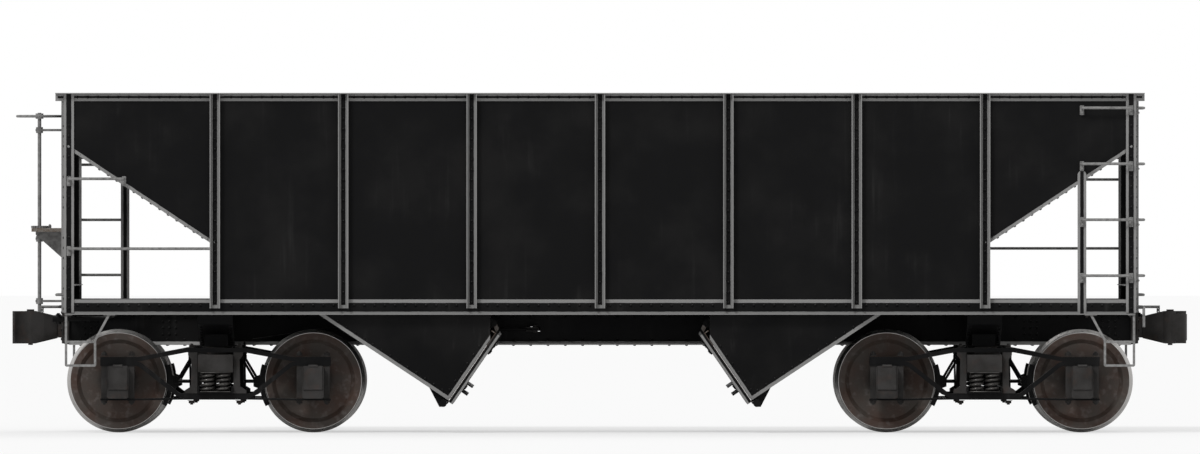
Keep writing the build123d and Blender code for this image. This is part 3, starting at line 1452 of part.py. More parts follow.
def hand_brake_rod():
    """The rod from the foot of the brake staff to the body bolster."""
    z = SILL_Z - 76
    rod_y = STAFF_Y + STAFF_RADIUS + 14
    pull = rod((-STAFF_X - 20, rod_y, z), (-TRUCK_X - GIRDER_WEB / 2, rod_y, z), ROD_RADIUS)
    eye = rod((-STAFF_X, STAFF_Y, z - 14), (-STAFF_X, STAFF_Y, z + 14), 40)
    hole = rod((-STAFF_X, STAFF_Y, z - 20), (-STAFF_X, STAFF_Y, z + 20), STAFF_RADIUS + RUNNING_FIT)
    return pull + eye - hole


# Assembly

PARTS = {}


def keep(name, shapes):
    """Puts one solid, or several that don't touch, in a node."""
    shapes = list(shapes) if isinstance(shapes, (list, tuple)) else [shapes]
    solids = [solid for shape in shapes for solid in shape.solids()]
    PARTS[name] = solids[0] if len(solids) == 1 else Compound(children=solids)


def two_ends(shapes):
    """Pieces at one end, and the same turned half a turn for the other end."""
    shapes = list(shapes) if isinstance(shapes, (list, tuple)) else [shapes]
    return shapes + [other_end(shape) for shape in shapes]


def build_body():
    side = side_sheet()
    keep("side_sheet_right", side)
    keep("side_sheet_left", mirror_y(side))
    keep("side_posts", [piece for x in POST_XS for piece in both_sides(side_post(x))])
    keep("corner_posts", all_corners(corner_post()))
    keep("side_chords", both_sides(side_chord()))
    keep("end_chords", both_ends(end_chord()))
    keep("side_sills", both_sides(side_sill()))
    keep("end_sills", both_ends(end_sill()))
    keep("end_sheets", both_ends(end_sheet()))
    keep("end_posts", all_corners(end_post(-END_POST_Y)))
    slope = slope_sheet()
    keep("slope_sheet_b", slope)
    keep("slope_sheet_a", mirror_x(slope))
    keep("cross_ridge", cross_ridge())
    keep("sill_hoods", both_ends(sill_hood()))
    keep("chute_walls_outer", all_corners(chute_outer_wall()))
    keep("chute_walls_inner", all_corners(chute_inner_wall()))
    door = hopper_door()
    keep("door_b", door)
    keep("door_a", mirror_x(door))
    keep("door_hinges", [piece for y in HINGE_YS for piece in all_corners(hinge_bracket(-y))])
    keep("lock_shafts", both_ends(lock_shaft()))
    keep("center_sill", both_sides(sill_channel()))
    keep("sill_cover", sill_cover())
    keep("body_bolsters", both_ends(body_bolster()))
    keep("center_plates", both_ends(centre_plate()))
    keep("strikers", two_ends(striker()))
    keep("draft_gears", two_ends(draft_gear()))
    keep("couplers", two_ends(coupler()))
    keep("knuckles", two_ends(knuckle()))


def build_fittings():
    keep("ladders", two_ends([side_stile(), end_stile()]))
    keep("ladder_rungs", two_ends(ladder_rungs()))
    handholds = corner_handholds() + [sill_handhold(), mirror_y(sill_handhold())]
    keep("handholds", two_ends(handholds))
    keep("sill_steps", all_corners(sill_step()))
    keep("uncoupling_levers", two_ends(uncoupling_lever()))
    keep("brake_cylinder", brake_cylinder())
    keep("brake_levers", brake_levers())
    keep("train_pipe", train_pipe())
    keep("hand_brake", hand_brake())
    keep("hand_brake_rod", hand_brake_rod())


def build_truck(name, place):
    """One truck's pieces, built about its centre and set in place."""
    boxes = []
    for x in (-BOX_X, BOX_X):
        for out in (-1, 1):
            boxes.append(journal_box(x, out * JOURNAL_CENTRE_Y, out))
    columns = [column(side, out * JOURNAL_CENTRE_Y) for side in (-1, 1) for out in (-1, 1)]
    pieces = {
        "arch_bars": [arch_bars(out * JOURNAL_CENTRE_Y) for out in (-1, 1)],
        "columns": columns,
        "journal_boxes": boxes,
        "bolster": [truck_bolster()],
        "spring_plank": [spring_plank()],
        "springs": [spring_cluster(out * JOURNAL_CENTRE_Y) for out in (-1, 1)],
        "brake_rigging": [brake_rigging()],
    }
    for piece, shapes in pieces.items():
        keep(piece + "_" + name, [place * shape for shape in shapes])
    right = wheel()
    left = mirror_y(right)
    spindle = axle()
    for number, x in ((1, -BOX_X), (2, BOX_X)):
        spot = place * Pos(x, 0, AXLE_Z)
        keep("wheels_" + name + str(number), [spot * right, spot * left])
        keep("axle_" + name + str(number), spot * spindle)


build_body()
build_fittings()
build_truck("a", Rot(0, 0, 180) * Pos(TRUCK_X, 0, 0))
build_truck("b", Pos(TRUCK_X, 0, 0))

os.makedirs("parts", exist_ok=True)
for name, shape in PARTS.items():
    export_step(shape, "parts/" + name + ".step")
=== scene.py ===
import math
from itertools import product

import bmesh
import bpy
import numpy as np
from mathutils import Matrix, Vector


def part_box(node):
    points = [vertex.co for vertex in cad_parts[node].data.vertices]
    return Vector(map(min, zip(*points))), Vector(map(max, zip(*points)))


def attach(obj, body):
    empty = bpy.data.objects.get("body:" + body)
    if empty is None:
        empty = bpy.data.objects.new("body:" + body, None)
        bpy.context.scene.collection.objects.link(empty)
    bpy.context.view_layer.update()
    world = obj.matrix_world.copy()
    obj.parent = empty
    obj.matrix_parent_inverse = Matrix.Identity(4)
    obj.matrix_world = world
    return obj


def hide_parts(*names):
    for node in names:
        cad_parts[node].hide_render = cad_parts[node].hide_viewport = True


# The looks of the open hopper wagon: paint, worn edges, stone dust, rivets, bolts, real coil
# springs, chains and cotters round the fixed frame. Metres, in the frame of the CAD model:
# +X to the right of the drawing, the drawn side at -Y, the flanges' lowest point at Z = 0.

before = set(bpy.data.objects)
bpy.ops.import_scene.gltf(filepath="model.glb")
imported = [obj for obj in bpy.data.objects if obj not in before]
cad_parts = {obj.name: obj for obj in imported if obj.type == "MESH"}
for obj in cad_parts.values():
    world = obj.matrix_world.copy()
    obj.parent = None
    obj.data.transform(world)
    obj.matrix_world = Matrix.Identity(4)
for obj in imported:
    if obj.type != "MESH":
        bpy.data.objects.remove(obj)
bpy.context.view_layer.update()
scene = bpy.context.scene


def middle(name):
    """The middle of a node's box."""
    low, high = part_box(name)
    return (low + high) / 2


# Sizes of the body, from the frame and from the plates' named thicknesses
SHEET = 0.006
LEG = 0.008
POST_WIDTH = 0.088
POST_COUNT = 7
CORNER_LEG = 0.010
CORNER_WIDTH = 0.088
side_low, side_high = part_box("side_sheet_right")
post_low, post_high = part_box("side_posts")
chord_low, chord_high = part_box("side_chords")
sill_low, sill_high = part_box("side_sills")
SIDE_IN, FRAME_Y, END_IN = -side_high.y, -side_low.y, side_high.x
SIDE_OUT = SIDE_IN + SHEET
END_OUT = END_IN + SHEET
FRAME_X = END_OUT + LEG
POST_FOOT, POST_TIP_Y = post_low.z, -post_low.y
POST_PITCH = (post_high.x - post_low.x - POST_WIDTH) / (POST_COUNT - 1)
LAST_POST = POST_PITCH * (POST_COUNT // 2)
POST_XS = [POST_PITCH * n for n in range(-(POST_COUNT // 2), POST_COUNT // 2 + 1)]
CHORD_Z, TOP_Z, CHORD_END = chord_low.z, chord_high.z, chord_high.x
SILL_Z, SILL_TOP = sill_low.z, sill_high.z
END_SILL_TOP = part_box("end_sills")[1].z
CENTRE_Z, CENTRE_FLANGE_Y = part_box("center_sill")[0].z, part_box("center_sill")[1].y
CORNER_FACE_Y, CORNER_FACE_X = FRAME_Y + CORNER_LEG, FRAME_X + CORNER_LEG
END_POST_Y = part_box("end_posts")[1].y - POST_WIDTH / 2

# Widths of the grey lines: on most edges, on posts and lower edges, on chord tops and cut ends
LINE, THIN_LINE, TOP_LINE, CUT_LINE = 0.029, 0.025, 0.026, 0.020
CORNER_LINE, END_POST_LINE, DOOR_LINE, BAR_LINE = 0.022, 0.019, 0.023, 0.027

# Hopper bays: the slope sheets rise outwards from their tips at SLOPE_ANGLE
TIP_X = 1.300
TIP_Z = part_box("slope_sheet_b")[0].z
SLOPE_ANGLE = math.radians(33.5)
DOOR_ANGLE = math.radians(34.5)
DOWN_DOOR = DOOR_ANGLE - math.pi / 2
CHUTE_FOOT_Y = 1.150
CHUTE_LEAN = (SIDE_IN - CHUTE_FOOT_Y) / (SILL_Z - TIP_Z)
DOOR_GAP = 0.005
DOOR_SHEET = 0.008
DOOR_DEPTH = 0.044
DOOR_RIM = (0.030, 0.052)
DOOR_LENGTH = 0.706
DOOR_BEAM = 0.165
HINGE_YS = (0.430, 1.090)
APRON_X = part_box("door_hinges")[1].x
RIDGE_Z = 1.010
RIDGE_ANGLE = math.radians(40)
HOOD_ANGLE = math.radians(45)

# Ladders and the foot board
RUNG_COUNT = 4
STILE_X = 4.130
END_STILE_Y = 0.800
STILE_LINE = 0.0155
STILE_CAP = 0.024
STILE_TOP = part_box("ladders")[1].z
BOARD_LOW, BOARD_HIGH = Vector((-4.914, 0.169, 1.7245)), Vector((-4.647, 0.831, 1.7575))
BOARD_SOFT = 0.0003

# Handholds, steps and uncoupling levers
GRAB_RADIUS = 0.012
grab_low, grab_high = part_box("handholds")
SILL_GRAB_Z, SHORT_GRAB_Z, LONG_GRAB_Z = grab_low.z + GRAB_RADIUS, grab_high.z - GRAB_RADIUS, 1.580
SILL_GRAB_YS = (0.640, 1.120)
SHORT_GRAB_X = 4.079
STEP_BOLT_XS = (4.172, 4.545)
LEVER_BRACKET_YS, LEVER_BRACKET_Z = (-1.0735, -0.260), 1.077

# Underframe and brake gear
TIE_TOP = 1.066
DRAFT_LUG_XS = (3.66, 4.335)
STRIKER_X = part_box("strikers")[1].x
CYLINDER_Y, CYLINDER_Z = 0.480, 0.885
STAFF_X, STAFF_Y = -4.853, 0.500
STAFF_BRACKET_ZS = (1.125, 2.605)

# Trucks
JOURNAL_Y = 0.978
TRUCK_X = middle("arch_bars_b").x
HUB_OIL, TREAD_FOOT = (0.13, 0.2), (0.4085, 0.4125)  # radii between which the wheel's looks change

# The camera's framing, close to the drawing's own
VIEW_WIDTH = 10.28
VIEW_CENTRE_Z = 1.766
LENS = 600.0
SENSOR = 36.0

# The two ends, sides or ways of a mirrored pair
BOTH = (-1, 1)


# Shader graphs

class Graph:
    """The node graph of a material or the world, with a short call for each kind of node."""

    def __init__(self, name, world=False):
        self.owner = bpy.data.worlds.new(name) if world else bpy.data.materials.new(name)
        self.owner.use_nodes = True
        self.tree = self.owner.node_tree
        self.tree.nodes.clear()
        self.output = self.tree.nodes.new(f"ShaderNodeOutput{'World' if world else 'Material'}")

    def add(self, kind, **inputs):
        node = self.tree.nodes.new("ShaderNode" + kind)
        for key, value in inputs.items():
            self.feed(node.inputs[key.replace("_", " ")], value)
        return node

    def feed(self, socket, value):
        if isinstance(value, bpy.types.NodeSocket):
            self.tree.links.new(value, socket)
        else:
            socket.default_value = value

    def wire(self, node, values):
        """Feeds a node's sockets in their order and gives its first output."""
        for socket, value in zip(node.inputs, values):
            self.feed(socket, value)
        return node.outputs[0]

    def maths(self, operation, *values):
        node = self.add("Math")
        node.operation = operation
        return self.wire(node, values)

    def plus(self, first, second):
        return self.maths("ADD", first, second)

    def minus(self, first, second):
        return self.maths("SUBTRACT", first, second)

    def times(self, first, second):
        return self.maths("MULTIPLY", first, second)

    def size(self, value):
        return self.maths("ABSOLUTE", value)

    def most(self, *values):
        result = values[0]
        for value in values[1:]:
            result = self.maths("MAXIMUM", result, value)
        return result

    def position(self):
        return self.add("TexCoord").outputs["Object"]

    def axes(self):
        return self.add("SeparateXYZ", Vector=self.position()).outputs

    def facing(self):
        """The surface's normal, as its three parts."""
        normal = self.add("NewGeometry").outputs["Normal"]
        return self.add("SeparateXYZ", Vector=normal).outputs

    def down_slope(self, angle, axis):
        """Places measured along a slope that rises outwards along X or Y, across it and off it."""
        place = self.axes()
        out, height = self.size(place[axis]), place[2]
        rise, run = math.sin(angle), math.cos(angle)
        along = self.plus(self.times(out, run), self.times(height, rise))
        off = self.minus(self.times(height, run), self.times(out, rise))
        return self.add("CombineXYZ", X=along, Y=place[1 - axis], Z=off).outputs[0]

    def noise(self, scale, detail=4, roughness=0.55, stretch=(1, 1, 1), places=None):
        place = self.add("Mapping", Vector=places or self.position(), Scale=stretch)
        cloud = self.add("TexNoise", Vector=place.outputs[0], Scale=scale, Detail=detail, Roughness=roughness)
        return cloud.outputs["Fac"]

    def ramp(self, value, low, high, to_low=0.0, to_high=1.0):
        node = self.add("MapRange")
        node.interpolation_type = "SMOOTHSTEP"
        return self.wire(node, (value, low, high, to_low, to_high))

    def mix(self, amount, first, second):
        node = self.add("Mix")
        node.data_type = "RGBA"
        for number, value in ((0, amount), (6, first), (7, second)):
            self.feed(node.inputs[number], value)
        return node.outputs[2]

    def bump(self, height, strength, distance, **normal):
        node = self.add("Bump", Strength=strength, Distance=distance, Height=height, **normal)
        return node.outputs[0]

    def blend(self, share, first, second):
        return self.wire(self.add("MixShader"), (share, first, second))

    def show(self, shader):
        """Sends a shader to the output and gives the material or world."""
        self.feed(self.output.inputs[0], shader)
        return self.owner

    def finish(self, colour, roughness, metallic=0.0, specular=0.3, **normal):
        shader = self.add(
            "BsdfPrincipled", Base_Color=colour, Roughness=roughness, Metallic=metallic,
            Specular_IOR_Level=specular, **normal
        )
        return self.show(shader.outputs[0])


# Colours, and the depths of fine and coarse grain in the surface
BLACK = (0.0042, 0.0042, 0.0045, 1)
SOOT = (0.0088, 0.0086, 0.0086, 1)
DUST = (0.215, 0.212, 0.207, 1)
WORN_GREY = (0.235, 0.233, 0.230, 1)
# A lighter copy of the worn edge grey, for the centre sill's lower edge: painted light that lifts the line
# against the shade under the body
UNDER_BODY_GREY_PAINTED_LIGHTER = (0.42, 0.415, 0.41, 1)
DARK_GREY = (0.13, 0.128, 0.125, 1)
RUST = (0.115, 0.052, 0.028, 1)
OLD_RUST = (0.052, 0.029, 0.021, 1)
SCOURED = (0.27, 0.26, 0.25, 1)
BROWN_STEEL = (0.092, 0.066, 0.052, 1)
STONE_DUST = (0.27, 0.262, 0.25, 1)
BOARD = (0.115, 0.083, 0.058, 1)
BOARD_GREY = (0.19, 0.178, 0.165, 1)
CAST = (0.034, 0.032, 0.031, 1)
WHEEL_BROWN = (0.050, 0.041, 0.035, 1)
TREAD = (0.42, 0.41, 0.40, 1)
OIL = (0.012, 0.011, 0.010, 1)
SPRING_STEEL = (0.09, 0.085, 0.08, 1)
AXLE_STEEL = (0.14, 0.13, 0.12, 1)
PAINT_GLOSS = 0.07
GRAIN, COARSE_GRAIN = 0.0008, 0.0015


def ragged(g, value, amount=0.003):
    """A coordinate with a slightly uneven edge, as wear and brushwork leave."""
    wobble = g.minus(g.noise(14, 3), 0.5)
    return g.plus(value, g.times(wobble, amount * 2))


def below(g, value, limit, soft=0.002):
    return g.ramp(value, limit - soft, limit + soft, 1.0, 0.0)


def above(g, value, limit, soft=0.002):
    return g.ramp(value, limit - soft, limit + soft)


def line_distance(g, angle):
    """Distance from the line that leaves the slope sheets' tips at an angle, towards the load."""
    out = g.minus(g.size(g.axes()[0]), TIP_X)
    up = g.minus(g.axes()[2], TIP_Z)
    return g.minus(g.times(up, math.cos(angle)), g.times(out, math.sin(angle)))


def in_load_space(g):
    """1 above the slope sheets and the cross ridge."""
    lean = math.tan(RIDGE_ANGLE)
    ridge = g.minus(g.times(g.size(g.axes()[0]), lean), APRON_X * lean + RIDGE_Z)
    return g.times(above(g, line_distance(g, SLOPE_ANGLE), 0.0), above(g, g.plus(g.axes()[2], ridge), 0.0))


def worn_steel(g, angle, axis=0):
    """Colour of plate that stone slides on: rust, scoured lighter in fine streaks down the slope."""
    places = g.down_slope(angle, axis)
    streaks = g.noise(26, 6, roughness=0.6, stretch=(0.16, 1.6, 1.6), places=places)
    broad = g.noise(3.4, 5, stretch=(0.35, 1.3, 1.3), places=places)
    patches = g.noise(1.7, 6, places=places)
    colour = g.mix(g.ramp(patches, 0.38, 0.66), BROWN_STEEL, OLD_RUST)
    scour = g.times(g.ramp(streaks, 0.36, 0.68, 0.0, 0.9), g.ramp(broad, 0.3, 0.66, 0.25, 1.0))
    colour = g.mix(scour, colour, SCOURED)
    rusty = g.ramp(g.noise(6.5, 7, places=places), 0.56, 0.74, 0.0, 0.5)
    colour = g.mix(rusty, colour, RUST)
    powder = g.times(g.ramp(g.noise(48, 5), 0.52, 0.74), g.ramp(broad, 0.4, 0.7, 0.0, 0.5))
    return g.mix(powder, colour, STONE_DUST), streaks


def rusted_wall(g):
    """Colour of the load space's upright plates: rust with dusty runs and scrapes."""
    grain = g.noise(9, 8, roughness=0.62, stretch=(1, 1, 0.48))
    colour = g.mix(g.ramp(grain, 0.32, 0.68), OLD_RUST, BROWN_STEEL)
    colour = g.mix(g.ramp(g.noise(1.9, 6), 0.5, 0.7, 0.0, 0.45), colour, RUST)
    runs = g.noise(15, stretch=(1.5, 1.5, 0.12))
    dusty = g.times(g.ramp(runs, 0.46, 0.72), g.ramp(g.noise(2.6), 0.35, 0.65, 0.0, 0.5))
    colour = g.mix(dusty, colour, DUST)
    scrapes = g.noise(20, 3, stretch=(0.12, 0.12, 2.2))
    return g.mix(g.ramp(scrapes, 0.62, 0.76, 0.0, 0.35), colour, SCOURED)


def outward(g, axis):
    """1 on faces that look away from the wagon's middle along an axis, -1 on those that look back."""
    return g.times(g.maths("SIGN", g.axes()[axis]), g.facing()[axis])


def black_paint(name, edges=None, dust=0.5, load_side=None, load_angle=SLOPE_ANGLE, grey=WORN_GREY):
    """Satin black paint: faint runs and patches, settled dust, and grey where edges() says.

    load_side() says where the load has scoured it to bare steel, in streaks at load_angle.
    """
    g = Graph(name)
    patches = g.noise(1.6, 6)
    runs = g.noise(9, 3, stretch=(1.6, 1.6, 0.12))
    fine = g.noise(140, 3)
    colour = g.mix(g.ramp(patches, 0.4, 0.7), BLACK, SOOT)
    streak = g.times(g.ramp(runs, 0.56, 0.76), g.ramp(patches, 0.42, 0.68, 0.0, 0.06))
    colour = g.mix(streak, colour, DUST)
    upward = g.ramp(g.facing()[2], 0.55, 0.95, 0.0, dust)
    colour = g.mix(g.times(upward, g.ramp(g.noise(18), 0.3, 0.62, 0.25, 1.0)), colour, DUST)
    roughness = g.ramp(fine, 0.3, 0.7, 0.42, 0.6)
    if edges is not None:
        worn = edges(g)
        colour = g.mix(worn, colour, grey)
        roughness = g.plus(roughness, g.times(worn, 0.12))
    if load_side is not None:
        colour = g.mix(load_side(g), colour, worn_steel(g, load_angle)[0])
    return g.finish(colour, roughness, specular=PAINT_GLOSS, Normal=g.bump(fine, 0.25, GRAIN))


def strips(g, low, high, top_line=LINE):
    """Lines along the bottom and the top of a member between two heights."""
    height = ragged(g, g.axes()[2])
    return g.most(above(g, height, high - top_line), below(g, height, low + THIN_LINE))


def post_edges(g):
    """The outer strips of each post, and its foot."""
    shifted = g.plus(g.axes()[0], POST_PITCH * (POST_COUNT + 0.5))
    within = g.size(g.minus(g.maths("MODULO", shifted, POST_PITCH), POST_PITCH / 2))
    sides = above(g, ragged(g, within), POST_WIDTH / 2 - THIN_LINE)
    return g.most(sides, below(g, ragged(g, g.axes()[2]), POST_FOOT + LINE))


def chord_edges(g):
    """Top and bottom strips of the chords, and the cut ends of the side chords."""
    cut = above(g, g.size(ragged(g, g.axes()[0])), CHORD_END - CUT_LINE)
    return g.most(strips(g, CHORD_Z, TOP_Z, TOP_LINE), cut)


def end_post_edges(g):
    """The outer strips of the posts on the ends."""
    within = g.size(g.minus(g.size(ragged(g, g.axes()[1])), END_POST_Y))
    return above(g, within, POST_WIDTH / 2 - END_POST_LINE)


def corner_edges(g):
    """Both edges of each face of the corner angles."""
    normal = g.facing()
    worn = []
    for axis, reach in enumerate((CORNER_FACE_X, CORNER_FACE_Y)):
        place = g.size(ragged(g, g.axes()[axis]))
        inner = below(g, place, reach - CORNER_WIDTH + CORNER_LINE)
        outer = above(g, place, reach - CORNER_LINE)
        seen = g.ramp(g.size(normal[1 - axis]), 0.5, 0.7)
        worn.append(g.times(seen, g.most(inner, outer)))
    return g.most(*worn)


# The centre sill's lower edge line: grey like the worn edges, but painted lighter to stand against the shade
# under the body
def centre_edges(g):
    return below(g, ragged(g, g.axes()[2]), CENTRE_Z + LINE)


def chute_edges(g):
    """Along the slope sheet and along the door."""
    slope = below(g, ragged(g, line_distance(g, SLOPE_ANGLE)), LINE)
    return g.most(slope, below(g, ragged(g, line_distance(g, DOWN_DOOR)), DOOR_LINE))


def load_side_outer(g):
    """The inner faces of the chutes' outer walls."""
    return g.ramp(outward(g, 1), -0.4, -0.2, 1.0, 0.0)


def load_side_inner(g):
    """The faces of the chutes' inner walls away from the centre sill."""
    return g.ramp(outward(g, 1), 0.2, 0.4)


def load_side_door(g):
    """The doors' faces towards the load."""
    return below(g, g.times(line_distance(g, DOWN_DOOR), -1.0), DOOR_GAP + DOOR_SHEET / 2)


def load_side_heads(g):
    """The rivet heads inside the load space."""
    place = g.axes()
    within_sides = below(g, g.size(place[1]), SIDE_IN + LEG / 2)
    return g.times(within_sides, below(g, g.size(place[0]), END_IN + LEG / 2))


def stile_edges(g):
    """The outer strips of the ladders' stiles, on the sides and on the ends."""
    x, y, z = g.axes()
    side = g.size(g.minus(g.size(x), STILE_X))
    end = g.size(g.minus(g.size(y), END_STILE_Y))
    nearest = ragged(g, g.maths("MINIMUM", side, end))
    return g.most(above(g, nearest, STILE_LINE), above(g, ragged(g, z), STILE_TOP - STILE_CAP))


def door_edges(g):
    """The turned edges of the doors, as two lines."""
    depth = g.times(line_distance(g, DOWN_DOOR), -1.0)
    return g.times(above(g, ragged(g, depth), DOOR_RIM[0]), below(g, depth, DOOR_RIM[1]))


def sheet_edges(g):
    """The bar along the slope in the end panels."""
    distance = line_distance(g, SLOPE_ANGLE)
    on_bar = g.times(below(g, ragged(g, distance), BAR_LINE), above(g, distance, -LINE))
    return g.times(above(g, g.size(g.axes()[0]), LAST_POST), on_bar)


def rusty_inside(g, axis, outside):
    """A wall's colour: the given one outside, rust and dust in the load space."""
    looks_in = g.ramp(outward(g, axis), -0.6, -0.3, 1.0, 0.0)
    return g.mix(g.times(looks_in, in_load_space(g)), outside, rusted_wall(g))


def side_plate(name):
    """The side sheet: black outside with a grey line on its sloping edge, rusty and dusty inside."""
    g = Graph(name)
    patches = g.noise(1.6, 6)
    runs = g.noise(8, 3, stretch=(1.8, 1.8, 0.1))
    fine = g.noise(140, 3)
    outside = g.mix(g.ramp(patches, 0.4, 0.72), BLACK, SOOT)
    streak = g.times(g.ramp(runs, 0.55, 0.8), g.ramp(patches, 0.4, 0.7, 0.0, 0.06))
    outside = g.mix(streak, outside, DUST)
    outside = g.mix(sheet_edges(g), outside, WORN_GREY)
    dents = g.bump(g.noise(1.3, 2, roughness=0.4), 0.5, 0.02)
    grain = g.bump(fine, 0.22, GRAIN, Normal=dents)
    roughness = g.ramp(fine, 0.3, 0.7, 0.42, 0.6)
    return g.finish(rusty_inside(g, 1, outside), roughness, specular=PAINT_GLOSS, Normal=grain)


def load_worn(name, angle=SLOPE_ANGLE, axis=0):
    """Plate that the load slides on: scoured steel, rust and stone dust above, black below."""
    g = Graph(name)
    steel, streaks = worn_steel(g, angle, axis)
    underside = g.mix(g.ramp(g.noise(2.2, 7), 0.4, 0.7), BLACK, SOOT)
    upper = g.ramp(g.facing()[2], -0.05, 0.1)
    height = g.times(streaks, upper)
    roughness = g.ramp(height, 0.3, 0.7, 0.62, 0.46)
    grain = g.bump(height, 0.22, COARSE_GRAIN)
    return g.finish(g.mix(upper, underside, steel), roughness, specular=0.15, Normal=grain)


def end_plate():
    """End sheets: black outside, dusty rust inside."""
    g = Graph("end plate")
    fine = g.noise(140, 3)
    outside = g.mix(g.ramp(g.noise(1.6, 6), 0.4, 0.7), BLACK, SOOT)
    roughness = g.ramp(fine, 0.3, 0.7, 0.44, 0.62)
    grain = g.bump(fine, 0.22, GRAIN)
    return g.finish(rusty_inside(g, 0, outside), roughness, specular=PAINT_GLOSS, Normal=grain)


def board_and_iron():
    """The hand brake: worn iron, with its foot board of bare wood."""
    g = Graph("hand brake iron and board")
    worn = g.noise(30, 5)
    iron = g.mix(g.ramp(worn, 0.35, 0.75), WORN_GREY, DARK_GREY)
    grain = g.noise(24, 7, roughness=0.6, stretch=(3.0, 0.14, 3.0))
    wood = g.mix(g.ramp(grain, 0.34, 0.68), BOARD, BOARD_GREY)
    wood = g.mix(g.ramp(g.noise(5), 0.5, 0.7, 0.0, 0.5), wood, OIL)
    on_board = 1.0
    for value, low, high in zip(g.axes(), BOARD_LOW, BOARD_HIGH):
        within = g.times(above(g, value, low, BOARD_SOFT), below(g, value, high, BOARD_SOFT))
        on_board = g.times(on_board, within)
    height = g.mix(on_board, worn, grain)
    colour = g.mix(on_board, iron, wood)
    return g.finish(colour, 0.6, specular=0.2, Normal=g.bump(height, 0.35, COARSE_GRAIN))


def worn_iron():
    """Handholds, steps and rods: paint worn through to grey iron by hands and boots."""
    g = Graph("worn iron")
    worn = g.noise(30, 5)
    colour = g.mix(g.ramp(worn, 0.35, 0.75), WORN_GREY, DARK_GREY)
    colour = g.mix(g.ramp(g.noise(11), 0.62, 0.8, 0.0, 0.35), colour, OLD_RUST)
    return g.finish(colour, g.ramp(worn, 0.3, 0.7, 0.45, 0.6), specular=0.25, Normal=g.bump(worn, 0.2, 0.001))


def casting(name, rust=0.35):
    """Sand-cast iron or steel under thin paint, with dust on top and rust in patches."""
    g = Graph(name)
    sand = g.noise(90, 6, roughness=0.7)
    blotch = g.noise(4, 6)
    colour = g.mix(g.ramp(blotch, 0.35, 0.7), CAST, OIL)
    colour = g.mix(g.ramp(g.noise(9), 0.52, 0.72, 0.0, rust), colour, OLD_RUST)
    upward = g.times(g.ramp(g.facing()[2], 0.3, 0.9), g.ramp(g.noise(14), 0.3, 0.65, 0.0, 0.4))
    colour = g.mix(upward, colour, DUST)
    roughness = g.ramp(sand, 0.3, 0.7, 0.6, 0.8)
    return g.finish(colour, roughness, specular=0.2, Normal=g.bump(sand, 0.5, COARSE_GRAIN))


def wheel_iron(name, centre):
    """Cast iron wheel: rusty plate, oily hub, tread and flange polished bright by the rail."""
    g = Graph(name)
    dx, dz = (g.minus(g.axes()[axis], centre[axis]) for axis in (0, 2))
    radius = g.maths("SQRT", g.plus(g.times(dx, dx), g.times(dz, dz)))
    sand = g.noise(80, 6, roughness=0.7)
    blotch = g.noise(5, 6)
    colour = g.mix(g.ramp(blotch, 0.35, 0.68), WHEEL_BROWN, OLD_RUST)
    colour = g.mix(g.ramp(g.noise(20), 0.5, 0.75, 0.0, 0.25), colour, DUST)
    colour = g.mix(g.ramp(ragged(g, radius, 0.012), *HUB_OIL, 0.8, 0.0), colour, OIL)
    bright = g.ramp(radius, *TREAD_FOOT)
    roughness = g.minus(g.ramp(sand, 0.3, 0.7, 0.55, 0.75), g.times(bright, 0.3))
    grain = g.bump(sand, 0.35, 0.001)
    return g.finish(g.mix(bright, colour, TREAD), roughness, metallic=bright, Normal=grain)


def oiled_steel(name, tone):
    g = Graph(name)
    rings = g.noise(60, 2, stretch=(0.2, 12.0, 0.2))
    colour = g.mix(g.ramp(rings, 0.3, 0.7), tone, OIL)
    return g.finish(colour, g.ramp(rings, 0.3, 0.7, 0.32, 0.5), metallic=0.6, specular=0.4)


def dress(material, *names):
    for name in names:
        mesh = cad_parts[name].data
        mesh.materials.clear()
        mesh.materials.append(material)


LOOKS = {}


def paint_frame():
    """The body's materials. Those that added pieces share are kept in LOOKS."""
    plain = LOOKS["paint"] = black_paint("frame paint")
    iron = LOOKS["iron"] = worn_iron()
    cast = LOOKS["cast"] = casting("body casting")
    LOOKS["side rivets"] = black_paint("side rivet paint", sheet_edges, load_side=load_side_heads)
    LOOKS["end rivets"] = black_paint("end rivet paint", load_side=load_side_heads)
    dress(black_paint("post paint", post_edges), "side_posts")
    dress(black_paint("chord paint", chord_edges), "side_chords", "end_chords")
    dress(black_paint("side sill paint", lambda g: strips(g, SILL_Z, SILL_TOP)), "side_sills")
    dress(black_paint("end sill paint", lambda g: strips(g, SILL_Z, END_SILL_TOP)), "end_sills")
    dress(black_paint("end post paint", end_post_edges), "end_posts")
    dress(black_paint("corner paint", corner_edges), "corner_posts")
    # Its lower edge line is painted lighter than the other edges' grey, to offset the shade under the body
    dress(black_paint("centre sill paint", centre_edges, grey=UNDER_BODY_GREY_PAINTED_LIGHTER), "center_sill")
    dress(plain, "sill_cover", "body_bolsters", "lock_shafts", "door_hinges")
    dress(side_plate("right side plate"), "side_sheet_right")
    dress(side_plate("left side plate"), "side_sheet_left")
    dress(end_plate(), "end_sheets")
    LOOKS["scoured"] = load_worn("scoured plate")
    dress(LOOKS["scoured"], "slope_sheet_a", "slope_sheet_b")
    dress(load_worn("scoured ridge", -RIDGE_ANGLE), "cross_ridge")
    dress(load_worn("scoured hoods", -HOOD_ANGLE, axis=1), "sill_hoods")
    outer = black_paint("outer chute paint", chute_edges, load_side=load_side_outer)
    dress(outer, "chute_walls_outer")
    dress(black_paint("inner chute paint", load_side=load_side_inner), "chute_walls_inner")
    doors = black_paint("door paint", door_edges, load_side=load_side_door, load_angle=DOWN_DOOR)
    dress(doors, "door_a", "door_b")
    dress(black_paint("stile paint", stile_edges), "ladders")
    dress(iron, "ladder_rungs", "handholds", "sill_steps", "uncoupling_levers")
    dress(plain, "train_pipe", "hand_brake_rod", "brake_levers")
    dress(board_and_iron(), "hand_brake")
    dress(cast, "strikers", "couplers", "knuckles", "draft_gears", "center_plates")
    dress(casting("cylinder casting", rust=0.15), "brake_cylinder")


